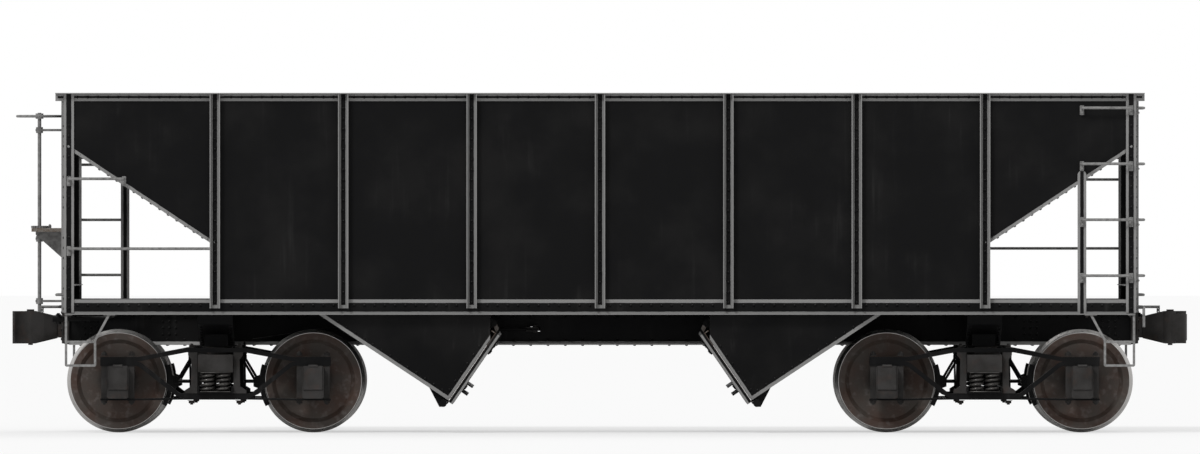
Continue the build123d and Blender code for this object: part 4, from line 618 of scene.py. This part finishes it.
def paint_trucks():
    iron = LOOKS["truck cast"] = casting("truck casting")
    bars = black_paint("truck paint", dust=0.7)
    springs = LOOKS["spring"] = oiled_steel("spring steel", SPRING_STEEL)
    axles = oiled_steel("axle steel", AXLE_STEEL)
    for truck in "ab":
        dress(iron, *(f"{part}_{truck}" for part in ("journal_boxes", "columns", "bolster")))
        dress(bars, *(f"{part}_{truck}" for part in ("arch_bars", "spring_plank", "brake_rigging")))
        dress(springs, f"springs_{truck}")
        for wheelset in (truck + number for number in "12"):
            wheels = f"wheels_{wheelset}"
            dress(wheel_iron(f"wheel iron {wheelset}", middle(wheels)), wheels)
            dress(axles, f"axle_{wheelset}")


# Small pieces in joined meshes

def add_object(name, data):
    """A new object, linked to the scene."""
    item = bpy.data.objects.new(name, data)
    scene.collection.objects.link(item)
    return item


class Piece:
    """A mesh that grows as shapes are added to it, and ends as one object on one body."""

    def __init__(self):
        self.points, self.faces, self.count = [], [], 0

    def add(self, shape, place=None):
        points, faces = shape
        if place is not None:
            turn = np.array(place.to_3x3())
            points = points @ turn.T + np.array(place.translation)
        self.points.append(points)
        self.faces += [tuple(self.count + corner for corner in face) for face in faces]
        self.count += len(points)

    def place(self, name, body, material, slot, smooth=True):
        mesh = bpy.data.meshes.new(name)
        mesh.from_pydata(np.concatenate(self.points).tolist(), [], self.faces)
        mesh.polygons.foreach_set("use_smooth", [smooth] * len(mesh.polygons))
        mesh.materials.append(material)
        mesh.update()
        piece = add_object(name, mesh)
        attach(piece, body)
        return piece


def around(count, share=0.0):
    """Cosine and sine of evenly spaced places on a circle, the first a share of a space on."""
    angles = [2 * math.pi * (place + share) / count for place in range(count)]
    return [(math.cos(angle), math.sin(angle)) for angle in angles]


def band(low, high, count):
    """The faces between two rings of points, from the numbers of the rings' first points."""
    steps = [(place, (place + 1) % count) for place in range(count)]
    return [(low + place, low + after, high + after, high + place) for place, after in steps]


def caps(last, count):
    """The end faces of a run of rings, from the number of the last ring's first point."""
    return [tuple(range(count))[::-1], tuple(range(last, last + count))]


def turned(profile, sides):
    """A solid of revolution about Z from pairs of radius and height, closed at both ends."""
    points = [(radius * x, radius * y, height) for radius, height in profile for x, y in around(sides)]
    faces = []
    for ring in range(len(profile) - 1):
        faces += band(ring * sides, (ring + 1) * sides, sides)
    return np.array(points), faces + caps(len(points) - sides, sides)


def tube(path, radius, sides=8, closed=False):
    """A round bar along a path of points, its rings kept square to the path."""
    path = [Vector(point) for point in path]
    last = len(path) - 1
    points, faces = [], []
    side_axis = None
    for place, point in enumerate(path):
        before = path[place - 1] if place > 0 or closed else point
        after = path[(place + 1) % len(path)] if place < last or closed else point
        along = (after - before).normalized()
        if side_axis is None:
            side_axis = along.orthogonal().normalized()
        side_axis = (side_axis - along * side_axis.dot(along)).normalized()
        up = along.cross(side_axis)
        points += [point + (side_axis * x + up * y) * radius for x, y in around(sides)]
    for ring in range(len(path) if closed else last):
        faces += band(ring * sides, (ring + 1) % len(path) * sides, sides)
    if not closed:
        faces += caps(last * sides, sides)
    return np.array([tuple(point) for point in points]), faces


def facing_matrix(point, normal, size, turn=0.0):
    """Stands a shape on a surface: its Z along the normal."""
    lean = Vector(normal).to_track_quat("Z", "Y").to_matrix().to_4x4()
    spin = Matrix.Rotation(turn, 4, "Z")
    return Matrix.Translation(point) @ lean @ spin @ Matrix.Diagonal((size, size, size, 1))


RIVET_SINK = 0.02
RIVET = turned([(1.0, -RIVET_SINK), (0.93, 0.26), (0.66, 0.52), (0.22, 0.66)], 8)
RIVET_RADIUS, SMALL_RIVET = 0.013, 0.0095
RIVET_PITCH, INNER_PITCH, CROSS_PITCH, WIDE_PITCH, LUG_PITCH = 0.088, 0.11, 0.12, 0.15, 0.055
ROW_INSET, CORNER_INSET, SILL_ROW = 0.05, 0.04, 0.045
FOOT_DROP, FOOT_GAP = 0.02, 0.065  # a foot's middle below its rung, and the clear height beside it
POST_GAP = POST_WIDTH / 2 + RIVET_RADIUS
CHORD_ROW_Z = (CHORD_Z + TOP_Z) / 2 - 0.001
INNER_POST_FOOT = 2.50
CHUTE_ROW_XS, FLOOR_ROW_X = (1.42, 2.3), 2.4
SEAM_XS = (LAST_POST - 0.55, LAST_POST - 0.50, END_IN - 0.08)
APRON_ROW_ZS, STRIKER_ROW_Y, STRIKER_ROW_ZS = (0.930, 0.970), 0.152, (0.80, 1.03)
DOOR_ROW_Y, STRAP_ROW_DROPS = 1.05, (0.17, 0.11, 0.05)


def row(start, end, pitch=RIVET_PITCH):
    """Evenly spaced points from start to end, both included, about a pitch apart."""
    start, end = Vector(start), Vector(end)
    gaps = max(1, round((end - start).length / pitch))
    return [start.lerp(end, place / gaps) for place in range(gaps + 1)]


def rivet(piece, points, normal, radius=RIVET_RADIUS):
    for point in points:
        piece.add(RIVET, facing_matrix(point, normal, radius))


def clear_of(points, centres, gap, axis=0):
    """The points that lie further than the gap from every centre along an axis."""
    return [point for point in points if all(abs(point[axis] - centre) > gap for centre in centres)]


def slope_point(x, hand, y, rise=0.0):
    """A point a rise above the slope sheet's underside, in the half of the wagon that hand gives."""
    z = TIP_Z + (x - TIP_X) * math.tan(SLOPE_ANGLE)
    return (hand * (x - rise * math.sin(SLOPE_ANGLE)), y, z + rise * math.cos(SLOPE_ANGLE))


def rung_heights():
    """Heights of the ladder's rungs, from the lowest to the highest."""
    low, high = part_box("ladder_rungs")
    bottom, top = low.z + GRAB_RADIUS, high.z - GRAB_RADIUS
    return [bottom + (top - bottom) * place / (RUNG_COUNT - 1) for place in range(RUNG_COUNT)]


def corner_row(x, y):
    """A row up a face of a corner angle, clear of the feet of the rungs."""
    line = row((x, y, SILL_Z + ROW_INSET), (x, y, CHORD_Z - CORNER_INSET))
    return clear_of(line, [z - FOOT_DROP for z in rung_heights()], FOOT_GAP, axis=2)


def rivet_sides():
    """Rows along chord, sill, posts, corners and sloping edges of both sides."""
    piece = Piece()
    corner = CORNER_FACE_X - CORNER_WIDTH
    reach, inner_reach = corner - 0.03, END_IN - CORNER_INSET
    web_top, inner_top = TOP_Z - ROW_INSET, TOP_Z - CORNER_INSET
    for hand in BOTH:
        out, back = (0, hand, 0), (0, -hand, 0)
        y, web, inside = hand * FRAME_Y, hand * (FRAME_Y + LEG), hand * SIDE_IN
        for z in (CHORD_ROW_Z, (SILL_Z + SILL_TOP) / 2 + 0.012):
            rivet(piece, clear_of(row((-reach, y, z), (reach, y, z)), POST_XS, POST_GAP), out)
        for x in POST_XS:
            rivet(piece, row((x, web, POST_FOOT + SILL_ROW), (x, web, web_top)), out)
            rivet(piece, row((x, inside, SILL_TOP), (x, inside, web_top)), back)
        for end in BOTH:
            rivet(piece, corner_row(end * (CORNER_FACE_X - CORNER_WIDTH / 2), hand * CORNER_FACE_Y), out)
            start = slope_point(LAST_POST + 0.075, end, y, LINE / 2)
            rivet(piece, row(start, slope_point(corner - 0.04, end, y, LINE / 2), 0.1), out, SMALL_RIVET)
        line = row((-inner_reach, inside, inner_top), (inner_reach, inside, inner_top), INNER_PITCH)
        rivet(piece, line, back)
    piece.place("rivets_sides", "wagon", LOOKS["side rivets"], "frame_steel")


def rivet_ends():
    """Rows up the end posts and corners, along the end chord and the end sill."""
    piece = Piece()
    posts = (-END_POST_Y, END_POST_Y)
    across, inner_across = SIDE_OUT - CORNER_WIDTH - 0.02, SIDE_IN - CORNER_INSET
    inner_top = TOP_Z - CORNER_INSET
    for end in BOTH:
        out, back = (end, 0, 0), (-end, 0, 0)
        face, web, inside = end * FRAME_X, end * (FRAME_X + LEG), end * END_IN
        for hand in BOTH:
            y = hand * END_POST_Y
            rivet(piece, row((web, y, SILL_Z + 0.06), (web, y, TOP_Z - 0.06)), out)
            rivet(piece, corner_row(end * CORNER_FACE_X, hand * (CORNER_FACE_Y - CORNER_WIDTH / 2)), out)
        for z in (CHORD_ROW_Z, SILL_Z + SILL_ROW, END_SILL_TOP - SILL_ROW):
            line = row((face, -across, z), (face, across, z))
            rivet(piece, clear_of(line, posts, POST_GAP, axis=1), out)
        line = row((inside, -inner_across, inner_top), (inside, inner_across, inner_top), INNER_PITCH)
        rivet(piece, line, back)
        for y in posts:
            rivet(piece, row((inside, y, INNER_POST_FOOT), (inside, y, TOP_Z - 0.12)), back)
    piece.place("rivets_ends", "wagon", LOOKS["end rivets"], "frame_steel")


def slope_row(piece, end, start, finish, way=1, pitch=RIVET_PITCH):
    """A row between two places in X and Y on a slope sheet: above it, or below it where way is -1."""
    start, finish = (slope_point(x, end, y, SHEET if way > 0 else 0.0) for x, y in (start, finish))
    normal = (-way * end * math.sin(SLOPE_ANGLE), 0, way * math.cos(SLOPE_ANGLE))
    rivet(piece, row(start, finish, pitch), normal)


def rivet_floor():
    """Rows on the slope sheets and the ridge: along their sides and over their seams."""
    piece = Piece()
    top, width = END_IN - 0.06, SIDE_IN - 0.12
    over_beam = LAST_POST + 0.01
    rise, run = math.sin(RIDGE_ANGLE), math.cos(RIDGE_ANGLE)
    for end in BOTH:
        for hand in BOTH:
            y = hand * (SIDE_IN - SILL_ROW)
            slope_row(piece, end, (CHUTE_ROW_XS[0], hand * CHUTE_FOOT_Y), (CHUTE_ROW_XS[1], y))
            slope_row(piece, end, (FLOOR_ROW_X, y), (top, y))
            slope_row(piece, end, (LAST_POST - 0.7, y), (top, y), way=-1)
        for x in SEAM_XS:
            for way in (1, -1):
                slope_row(piece, end, (x, -width), (x, width), way)
        slope_row(piece, end, (over_beam, -width), (over_beam, width), pitch=CROSS_PITCH)
        for x, clear in ((APRON_X - 0.045, 0.3), (0.05, 0.0)):
            z = RIDGE_Z + (APRON_X - x) * rise / run + SHEET * run
            across = end * (x + SHEET * rise)
            line = row((across, 0.1 - SIDE_IN, z), (across, SIDE_IN - 0.1, z), CROSS_PITCH)
            rivet(piece, clear_of(line, [0], clear, axis=1), (end * rise, 0, run))
    piece.place("rivets_floor", "wagon", LOOKS["scoured"], "hopper_plate")


def chute_face(x, z, hand, end):
    """A point on the outside of a chute's leaning outer wall."""
    return Vector((end * x, hand * (SIDE_OUT - (SILL_Z - z) * CHUTE_LEAN), z))


def rivet_chutes():
    """Rows along the slope sheet and the door on the chutes' outer walls."""
    piece = Piece()
    top_x = TIP_X + (SILL_Z - TIP_Z) / math.tan(SLOPE_ANGLE)
    door_run = SILL_Z - TIP_Z - 0.36
    foot = (TIP_X - 0.008, TIP_Z + 0.088)
    rows = (
        ((TIP_X + 0.05, TIP_Z + 0.086), (top_x - 0.09, SILL_Z - 0.012)),
        (foot, (foot[0] - door_run * math.tan(DOOR_ANGLE), foot[1] + door_run)),
    )
    for end, hand in product(BOTH, repeat=2):
        out = Vector((0, hand, -CHUTE_LEAN)).normalized()
        for start, finish in rows:
            rivet(piece, row(chute_face(*start, hand, end), chute_face(*finish, hand, end)), out)
    piece.place("rivets_chutes", "wagon", LOOKS["paint"], "hopper_plate")


def rivet_bolsters(piece):
    """Rows along both flanges of the body bolsters, inclined as these are, and on their ties."""
    flanges = (
        (0.11, (CENTRE_FLANGE_Y, TIE_TOP), (SIDE_IN, SILL_Z + 0.115), 1),
        (0.125, (CENTRE_FLANGE_Y, CENTRE_Z), (SIDE_IN - 0.157, SILL_Z - 0.085), -1),
    )
    for end, side, hand in product(BOTH, repeat=3):
        for across, (y_in, z_in), (y_out, z_out), up in flanges:
            x = end * TRUCK_X + side * across
            line = row((x, hand * y_in, z_in), (x, hand * y_out, z_out), 0.115)[1:-1]
            rise = (z_out - z_in) / (y_out - y_in)
            rivet(piece, line, (0, -up * hand * rise, up))
        x = end * TRUCK_X + side * flanges[0][0]
        rivet(piece, [(x, hand * y, TIE_TOP) for y in (0.09, 0.195)], (0, 0, 1))


def rivet_underframe():
    """Rows on the centre sill, and on the bolsters, draft lugs, aprons and strikers."""
    piece = Piece()
    reach = END_OUT - 0.1
    for hand in BOTH:
        y, web = hand * (CENTRE_FLANGE_Y - 0.032), hand * (CENTRE_FLANGE_Y - 0.070)
        rivet(piece, row((-reach, y, CENTRE_Z), (reach, y, CENTRE_Z), WIDE_PITCH), (0, 0, -1))
        for z in (CENTRE_Z + SILL_ROW, CENTRE_Z + 0.24):
            line = row((-reach, web, z), (reach, web, z), WIDE_PITCH)
            rivet(piece, clear_of(line, (-TRUCK_X, TRUCK_X), 0.17), (0, hand, 0))
        for end in BOTH:
            for x in (start + step * LUG_PITCH for start in DRAFT_LUG_XS for step in range(3)):
                low, high = ((end * x, web, CENTRE_Z + rise) for rise in (0.09, 0.20))
                rivet(piece, row(low, high, LUG_PITCH), (0, hand, 0))
            for y in HINGE_YS:
                for beside in (-0.054, 0.054):
                    spots = [(end * APRON_X, hand * y + beside, z) for z in APRON_ROW_ZS]
                    rivet(piece, spots, (-end, 0, 0), 0.009)
            low, high = ((end * STRIKER_X, hand * STRIKER_ROW_Y, z) for z in STRIKER_ROW_ZS)
            rivet(piece, row(low, high, 0.075), (end, 0, 0), 0.015)
    rivet_bolsters(piece)
    piece.place("rivets_underframe", "wagon", LOOKS["paint"], "frame_steel")


def off_door_line(distance, depth, end):
    """X and Z of a place up a door from its closing edge, and out from it, away from the load."""
    rise, run = math.cos(DOOR_ANGLE), math.sin(DOOR_ANGLE)
    return end * (TIP_X - distance * run - depth * rise), TIP_Z + distance * rise - depth * run


def rivet_door(name, end):
    """Rows on one door: along its cross beam and up its hinge straps."""
    piece = Piece()
    out = (-end * math.cos(DOOR_ANGLE), 0, -math.sin(DOOR_ANGLE))
    back = DOOR_GAP + DOOR_DEPTH
    x, z = off_door_line(DOOR_BEAM, back + 0.010, end)
    rivet(piece, row((x, -DOOR_ROW_Y, z), (x, DOOR_ROW_Y, z), 0.14), out, 0.011)
    for y in HINGE_YS:
        for drop in STRAP_ROW_DROPS:
            x, z = off_door_line(DOOR_LENGTH - drop, back + 0.014, end)
            rivet(piece, [(x, -y, z), (x, y, z)], out, 0.010)
    piece.place(f"rivets_{name}", f"hopper_{name}", LOOKS["paint"], "hopper_plate")


# Bolts, springs and chains. EASE is the bevel on thin plates

NUT_TOP, WASHER_TOP = 0.85, 0.16
NUT = turned([(1.0, 0.0), (1.0, 0.75), (0.86, NUT_TOP), (0.5, NUT_TOP)], 6)
BOLT_END = turned([(0.5, 0.0), (0.5, 0.32), (0.4, 0.42)], 8)
WASHER = turned([(1.35, 0.0), (1.35, 0.12), (1.25, WASHER_TOP)], 12)
BOX_BOLT_X = 0.118
ARCH_BAR, TIE_BAR = 0.038, 0.016
COLUMN_BOLT_X = 0.205
BOX_FOOT_Z, BAR_SEAT_Z = (corner.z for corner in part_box("journal_boxes_b"))
NUT_RADIUS, SMALL_NUT = 0.026, 0.010
EASE = 0.002


def bolt(piece, point, normal, radius=NUT_RADIUS, turn=0.0):
    """A nut with its washer and the bolt's end."""
    point, normal = Vector(point), Vector(normal)
    piece.add(WASHER, facing_matrix(point, normal, radius))
    seat = point + normal * radius * WASHER_TOP
    piece.add(NUT, facing_matrix(seat, normal, radius, turn))
    piece.add(BOLT_END, facing_matrix(seat + normal * radius * NUT_TOP, normal, radius))


def truck_bolts(truck, centre_x):
    """Box bolts at the ends of the arch bars and column bolts beside the bolster."""
    piece = Piece()
    low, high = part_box(f"arch_bars_{truck}")
    for hand in BOTH:
        y = hand * JOURNAL_Y
        for number, side in product("12", BOTH):
            spot = middle(f"axle_{truck}{number}").x + side * BOX_BOLT_X
            bolt(piece, (spot, y, BAR_SEAT_Z + 2 * ARCH_BAR), (0, 0, 1), turn=0.3 * side)
            bolt(piece, (spot, y, BOX_FOOT_Z - TIE_BAR), (0, 0, -1), turn=0.2 * side)
        for spot in (centre_x - COLUMN_BOLT_X, centre_x + COLUMN_BOLT_X):
            bolt(piece, (spot, y, high.z), (0, 0, 1), turn=0.5)
            bolt(piece, (spot, y, low.z), (0, 0, -1), turn=0.1)
    piece.place(f"bolts_{truck}", f"truck_{truck}", LOOKS["truck cast"], "truck_steel", smooth=False)


LINK_RADIUS = 0.006
SPRING_SPACING = 0.066
WIRE_RADIUS = 0.0125
SPRING_TURNS = 4.5
SPRING_CAP = 0.008
INNER_COIL, INNER_TURNS, INNER_WIRE = 0.55, 6.0, 0.0075

# The feet of handholds and the places of small bolts
FOOT_LOW, FOOT_HIGH, FOOT_BOLT_DROP = (-0.018, -0.062, 0), (0.018, 0.022, 0.010), 0.042
STEP_BOLT_Y = SIDE_OUT + 0.044
CYLINDER_FLANGES = ((0.062, 0.118), (0.396, 0.108))
RATCHET_TOOTH = ((0.0, 0.073), (0.12, 0.0625), (0.9, 0.073))


def forged_foot(piece, point, normal):
    """A handhold's flattened foot, with the bolt below its bar."""
    up, out = Vector((0, 0, 1)), Vector(normal)
    stand = Matrix((up.cross(out), up, out)).transposed().to_4x4()
    stand.translation = point
    piece.add(plate(FOOT_LOW, FOOT_HIGH, 0.004), stand)
    bolt(piece, Vector(point) + out * FOOT_HIGH[2] - up * FOOT_BOLT_DROP, normal, 0.013)


def grab_feet():
    """Feet of the rungs and handholds, at all four corners."""
    piece = Piece()
    post_x, post_y = CORNER_FACE_X - CORNER_WIDTH / 2, CORNER_FACE_Y - CORNER_WIDTH / 2
    for turn in (1, -1):
        side, other_side, end = (0, -turn, 0), (0, turn, 0), (turn, 0, 0)
        feet = []
        for z in rung_heights():
            stile_face = CORNER_FACE_Y if z < STILE_TOP else SIDE_OUT
            feet += [((STILE_X, -stile_face, z), side), ((post_x, -CORNER_FACE_Y, z), side)]
            feet += [((CORNER_FACE_X, -END_STILE_Y, z), end), ((CORNER_FACE_X, -post_y, z), end)]
        feet += [((FRAME_X, hand * y, SILL_GRAB_Z), end) for y in SILL_GRAB_YS for hand in BOTH]
        feet += [((post_x, CORNER_FACE_Y, z), other_side) for z in (LONG_GRAB_Z, SHORT_GRAB_Z)]
        feet.append(((SHORT_GRAB_X, SIDE_OUT, SHORT_GRAB_Z), other_side))
        for (x, y, z), normal in feet:
            forged_foot(piece, (turn * x, turn * y, z), normal)
    piece.place("grab_feet", "wagon", LOOKS["iron"], "ironwork", smooth=False)


def frame_bolts():
    """Bolts of the sill steps, uncoupling levers, brake staff and brake cylinder."""
    piece = Piece()
    face = FRAME_X + LEG
    for end in BOTH:
        for hand in BOTH:
            for x in STEP_BOLT_XS:
                bolt(piece, (end * x, hand * STEP_BOLT_Y, SILL_Z - LEG), (0, 0, -1), 0.012)
        near, far = sorted((end * FRAME_X, end * face))
        for y in (end * place for place in LEVER_BRACKET_YS):
            z = LEVER_BRACKET_Z
            piece.add(plate((near, y - 0.048, z - 0.018), (far, y + 0.048, z + 0.018), EASE))
            for side in (-0.033, 0.033):
                bolt(piece, (end * face, y + side, z), (end, 0, 0), SMALL_NUT)
    for z in STAFF_BRACKET_ZS:
        piece.add(plate((-face, STAFF_Y - 0.030, z - 0.052), (-END_OUT, STAFF_Y + 0.030, z + 0.052), EASE))
        for rise in (-0.034, 0.034):
            bolt(piece, (-face, STAFF_Y, z + rise), (-1, 0, 0), SMALL_NUT)
    for x, radius in CYLINDER_FLANGES:
        for y, z in around(10, 0.5):
            bolt(piece, (x, CYLINDER_Y + radius * y, CYLINDER_Z + radius * z), (1, 0, 0), SMALL_NUT)
    piece.place("frame_bolts", "wagon", LOOKS["cast"], "ironwork", smooth=False)


# Where the brake rods join the levers: X, Y and the way that the rod leaves
ROD_JOINTS = ((-0.56, -0.205, -1), (-0.56, 0.65, 1), (0.57, 0.205, 1), (0.57, 0.65, -1), (0.57, 0.48, -1))
PIN = turned([(1.7, 0.035), (1.7, 0.045), (1.2, 0.048), (1.0, 0.035), (1.0, -0.038), (0.8, -0.042)], 12)
PIN_SIZE = (0.012, 0.012, 0.75)
PAWL = ((-0.016, 0.004), (-0.028, -0.040), (-0.012, -0.030), (0.014, -0.010), (0.012, 0.014), (-0.006, 0.016))


def lever_jaws():
    """The rods' forked ends over the brake levers, with pins and cotters."""
    piece = Piece()
    foot = CYLINDER_Z - 0.024
    for x, y, way in ROD_JOINTS:
        near, far = sorted((x - way * 0.026, x + way * 0.080))
        for low, high in ((0.009, 0.020), (-0.020, -0.009)):
            piece.add(plate((near, y - 0.023, CYLINDER_Z + low), (far, y + 0.023, CYLINDER_Z + high), 0.004))
        piece.add((PIN[0] * PIN_SIZE, PIN[1]), Matrix.Translation((x, y, CYLINDER_Z)))
        cotter = [(x - 0.020, y, foot), (x, y, foot), (x + 0.024, y + 0.006, foot - 0.004)]
        piece.add(tube(cotter, 0.0026, sides=6))
    piece.place("lever_jaws", "wagon", LOOKS["cast"], "ironwork", smooth=False)


def slab(outline, low, high):
    """A flat piece between two heights, from its outline in X and Y."""
    count = len(outline)
    points = [(*corner, low) for corner in outline] + [(*corner, high) for corner in outline]
    return np.array(points), caps(count, count) + band(0, count, count)


def ratchet():
    """The ratchet wheel and pawl on the foot board, at the brake staff."""
    piece = Piece()
    foot = BOARD_HIGH.z
    rings = [
        [(STAFF_X + radius * x, STAFF_Y + radius * y) for x, y in around(18, share)]
        for share, radius in RATCHET_TOOTH
    ]
    outline = [corner for tooth in zip(*rings) for corner in tooth]
    piece.add(slab(outline, foot, foot + 0.0185))
    pivot = Vector((STAFF_X + 0.088, STAFF_Y + 0.060))
    piece.add(slab([tuple(pivot + Vector(corner)) for corner in PAWL], foot, foot + 0.016))
    bolt(piece, (*pivot, foot + 0.016), (0, 0, 1), 0.012)
    piece.place("ratchet", "wagon", LOOKS["iron"], "ironwork", smooth=False)


def coil_path(radius, low, high, turns):
    """A helix whose first and last half turns lie nearly flat."""
    path = []
    count = round(turns * 20)
    flat = 0.5 / turns
    for step in range(count + 1):
        share = step / count
        climb = min(max((share - flat) / (1 - 2 * flat), 0.0), 1.0)
        angle = 2 * math.pi * turns * share
        path.append((radius * math.cos(angle), radius * math.sin(angle), low + (high - low) * climb))
    return path


def coil_springs(truck):
    """Nests of two coils, four to each side of the truck, between their cap plates."""
    piece = Piece()
    low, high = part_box(f"springs_{truck}")
    centre_x = (low.x + high.x) / 2
    reach = (high.x - low.x) / 2
    outer = reach - SPRING_SPACING - WIRE_RADIUS
    start, end = low.z + SPRING_CAP + WIRE_RADIUS, high.z - SPRING_CAP - WIRE_RADIUS
    coils = (
        tube(coil_path(outer, start, end, SPRING_TURNS), WIRE_RADIUS),
        tube(coil_path(outer * INNER_COIL, start, end, INNER_TURNS), INNER_WIRE, sides=6),
    )
    sides = (-SPRING_SPACING, SPRING_SPACING)
    for y in (-JOURNAL_Y, JOURNAL_Y):
        for z in (low.z, high.z - SPRING_CAP):
            near, far = (centre_x - reach, y - reach, z), (centre_x + reach, y + reach, z + SPRING_CAP)
            piece.add(plate(near, far, EASE))
        for side, across, coil in product(sides, sides, coils):
            piece.add(coil, Matrix.Translation((centre_x + side, y + across, 0)))
    springs = piece.place(f"coil_springs_{truck}", f"truck_{truck}", LOOKS["spring"], "spring_steel")
    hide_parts(f"springs_{truck}")


def plate(low, high, bevel):
    """A box with its edges eased."""
    centre = (Vector(low) + Vector(high)) / 2
    half = (Vector(high) - Vector(low)) / 2
    mesh = bmesh.new()
    bmesh.ops.create_cube(mesh, size=2)
    for vertex in mesh.verts:
        vertex.co = centre + Vector(a * b for a, b in zip(vertex.co, half))
    bmesh.ops.bevel(mesh, geom=mesh.edges[:], offset=bevel, segments=1, affect="EDGES")
    mesh.verts.index_update()
    points = np.array([tuple(vertex.co) for vertex in mesh.verts])
    faces = [tuple(vertex.index for vertex in face.verts) for face in mesh.faces]
    mesh.free()
    return points, faces


def chain(piece, start, end, count):
    """Adds oval links from one point to another, each turned a quarter from the last."""
    step = (end - start) / count
    along = step.normalized()
    half_length, half_width = step.length * 0.5 + LINK_RADIUS * 0.9, LINK_RADIUS * 2.1
    for place in range(count):
        centre = start + step * (place + 0.5)
        side = along.orthogonal().normalized()
        if place % 2:
            side = along.cross(side)
        ring = [centre + along * x * half_length + side * y * half_width for x, y in around(16)]
        piece.add(tube(ring, LINK_RADIUS, sides=6, closed=True))


def lift_chains():
    """The chains from the uncoupling levers down to the couplers' locks."""
    piece = Piece()
    lever_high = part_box("uncoupling_levers")[1]
    top, foot = lever_high.z - 0.022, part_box("couplers")[1].z - 0.024
    for end in BOTH:
        x, y = end * (lever_high.x - 0.014), -end * 0.042
        chain(piece, Vector((x, y, top)), Vector((x, y, foot)), 2)
    piece.place("lift_chains", "wagon", LOOKS["iron"], "ironwork")


# Stage

FLOOR_HALF = 400.0
WHITE = (1, 1, 1, 1)


def set_floor():
    """A pale floor that is clear from below."""
    mesh = bpy.data.meshes.new("floor")
    corners = [(x * FLOOR_HALF, y * FLOOR_HALF, 0) for x, y in ((-1, -1), (1, -1), (1, 1), (-1, 1))]
    mesh.from_pydata(corners, [], [(0, 1, 2, 3)])
    floor = add_object("floor", mesh)
    g = Graph("pale floor")
    seen = g.add("LightPath").outputs["Is Camera Ray"]
    behind = g.add("NewGeometry").outputs["Backfacing"]
    diffuse = g.add("BsdfDiffuse", Color=(0.9, 0.9, 0.9, 1)).outputs[0]
    glow = g.add("Emission", Color=WHITE, Strength=1.0).outputs[0]
    clear = g.add("BsdfTransparent", Color=WHITE).outputs[0]
    surface = g.blend(g.times(seen, 0.55), diffuse, glow)
    mesh.materials.append(g.show(g.blend(behind, surface, clear)))


def set_world():
    """White to the camera and in reflections, dimmer as light."""
    g = Graph("studio", world=True)
    scene.world = g.owner
    rays = g.add("LightPath").outputs
    seen = g.most(*(rays[f"Is {kind} Ray"] for kind in ("Camera", "Glossy", "Transmission")))
    dim, white = (g.add("Background", Color=WHITE, Strength=power) for power in (0.55, 1.0))
    g.show(g.blend(seen, dim.outputs[0], white.outputs[0]))


def add_sun(name, direction, strength, angle):
    light = bpy.data.lights.new(name, "SUN")
    light.energy = strength
    light.angle = math.radians(angle)
    lamp = add_object(name, light)
    lamp.rotation_mode = "QUATERNION"
    lamp.rotation_quaternion = Vector(direction).to_track_quat("-Z", "Y")


def set_camera():
    data = bpy.data.cameras.new("camera")
    data.lens, data.sensor_width = LENS, SENSOR
    camera = add_object("camera", data)
    distance = VIEW_WIDTH * LENS / SENSOR
    camera.location = (0, -POST_TIP_Y - distance, VIEW_CENTRE_Z)
    camera.rotation_euler = (math.radians(90), 0, 0)
    data.clip_start, data.clip_end = 1.0, distance * 3
    scene.camera = camera


paint_frame()
paint_trucks()
rivet_sides()
rivet_ends()
rivet_floor()
rivet_chutes()
rivet_underframe()
for bay, side in (("a", -1), ("b", 1)):
    rivet_door(f"door_{bay}", side)
    truck_bolts(bay, side * TRUCK_X)
    coil_springs(bay)
grab_feet()
frame_bolts()
lever_jaws()
ratchet()
lift_chains()
set_floor()
set_world()
add_sun("key", (0.45, 0.75, -0.75), 1.5, 14)
add_sun("back fill", (-0.4, -0.8, -0.6), 0.8, 30)
set_camera()
scene.view_settings.view_transform = "Standard"
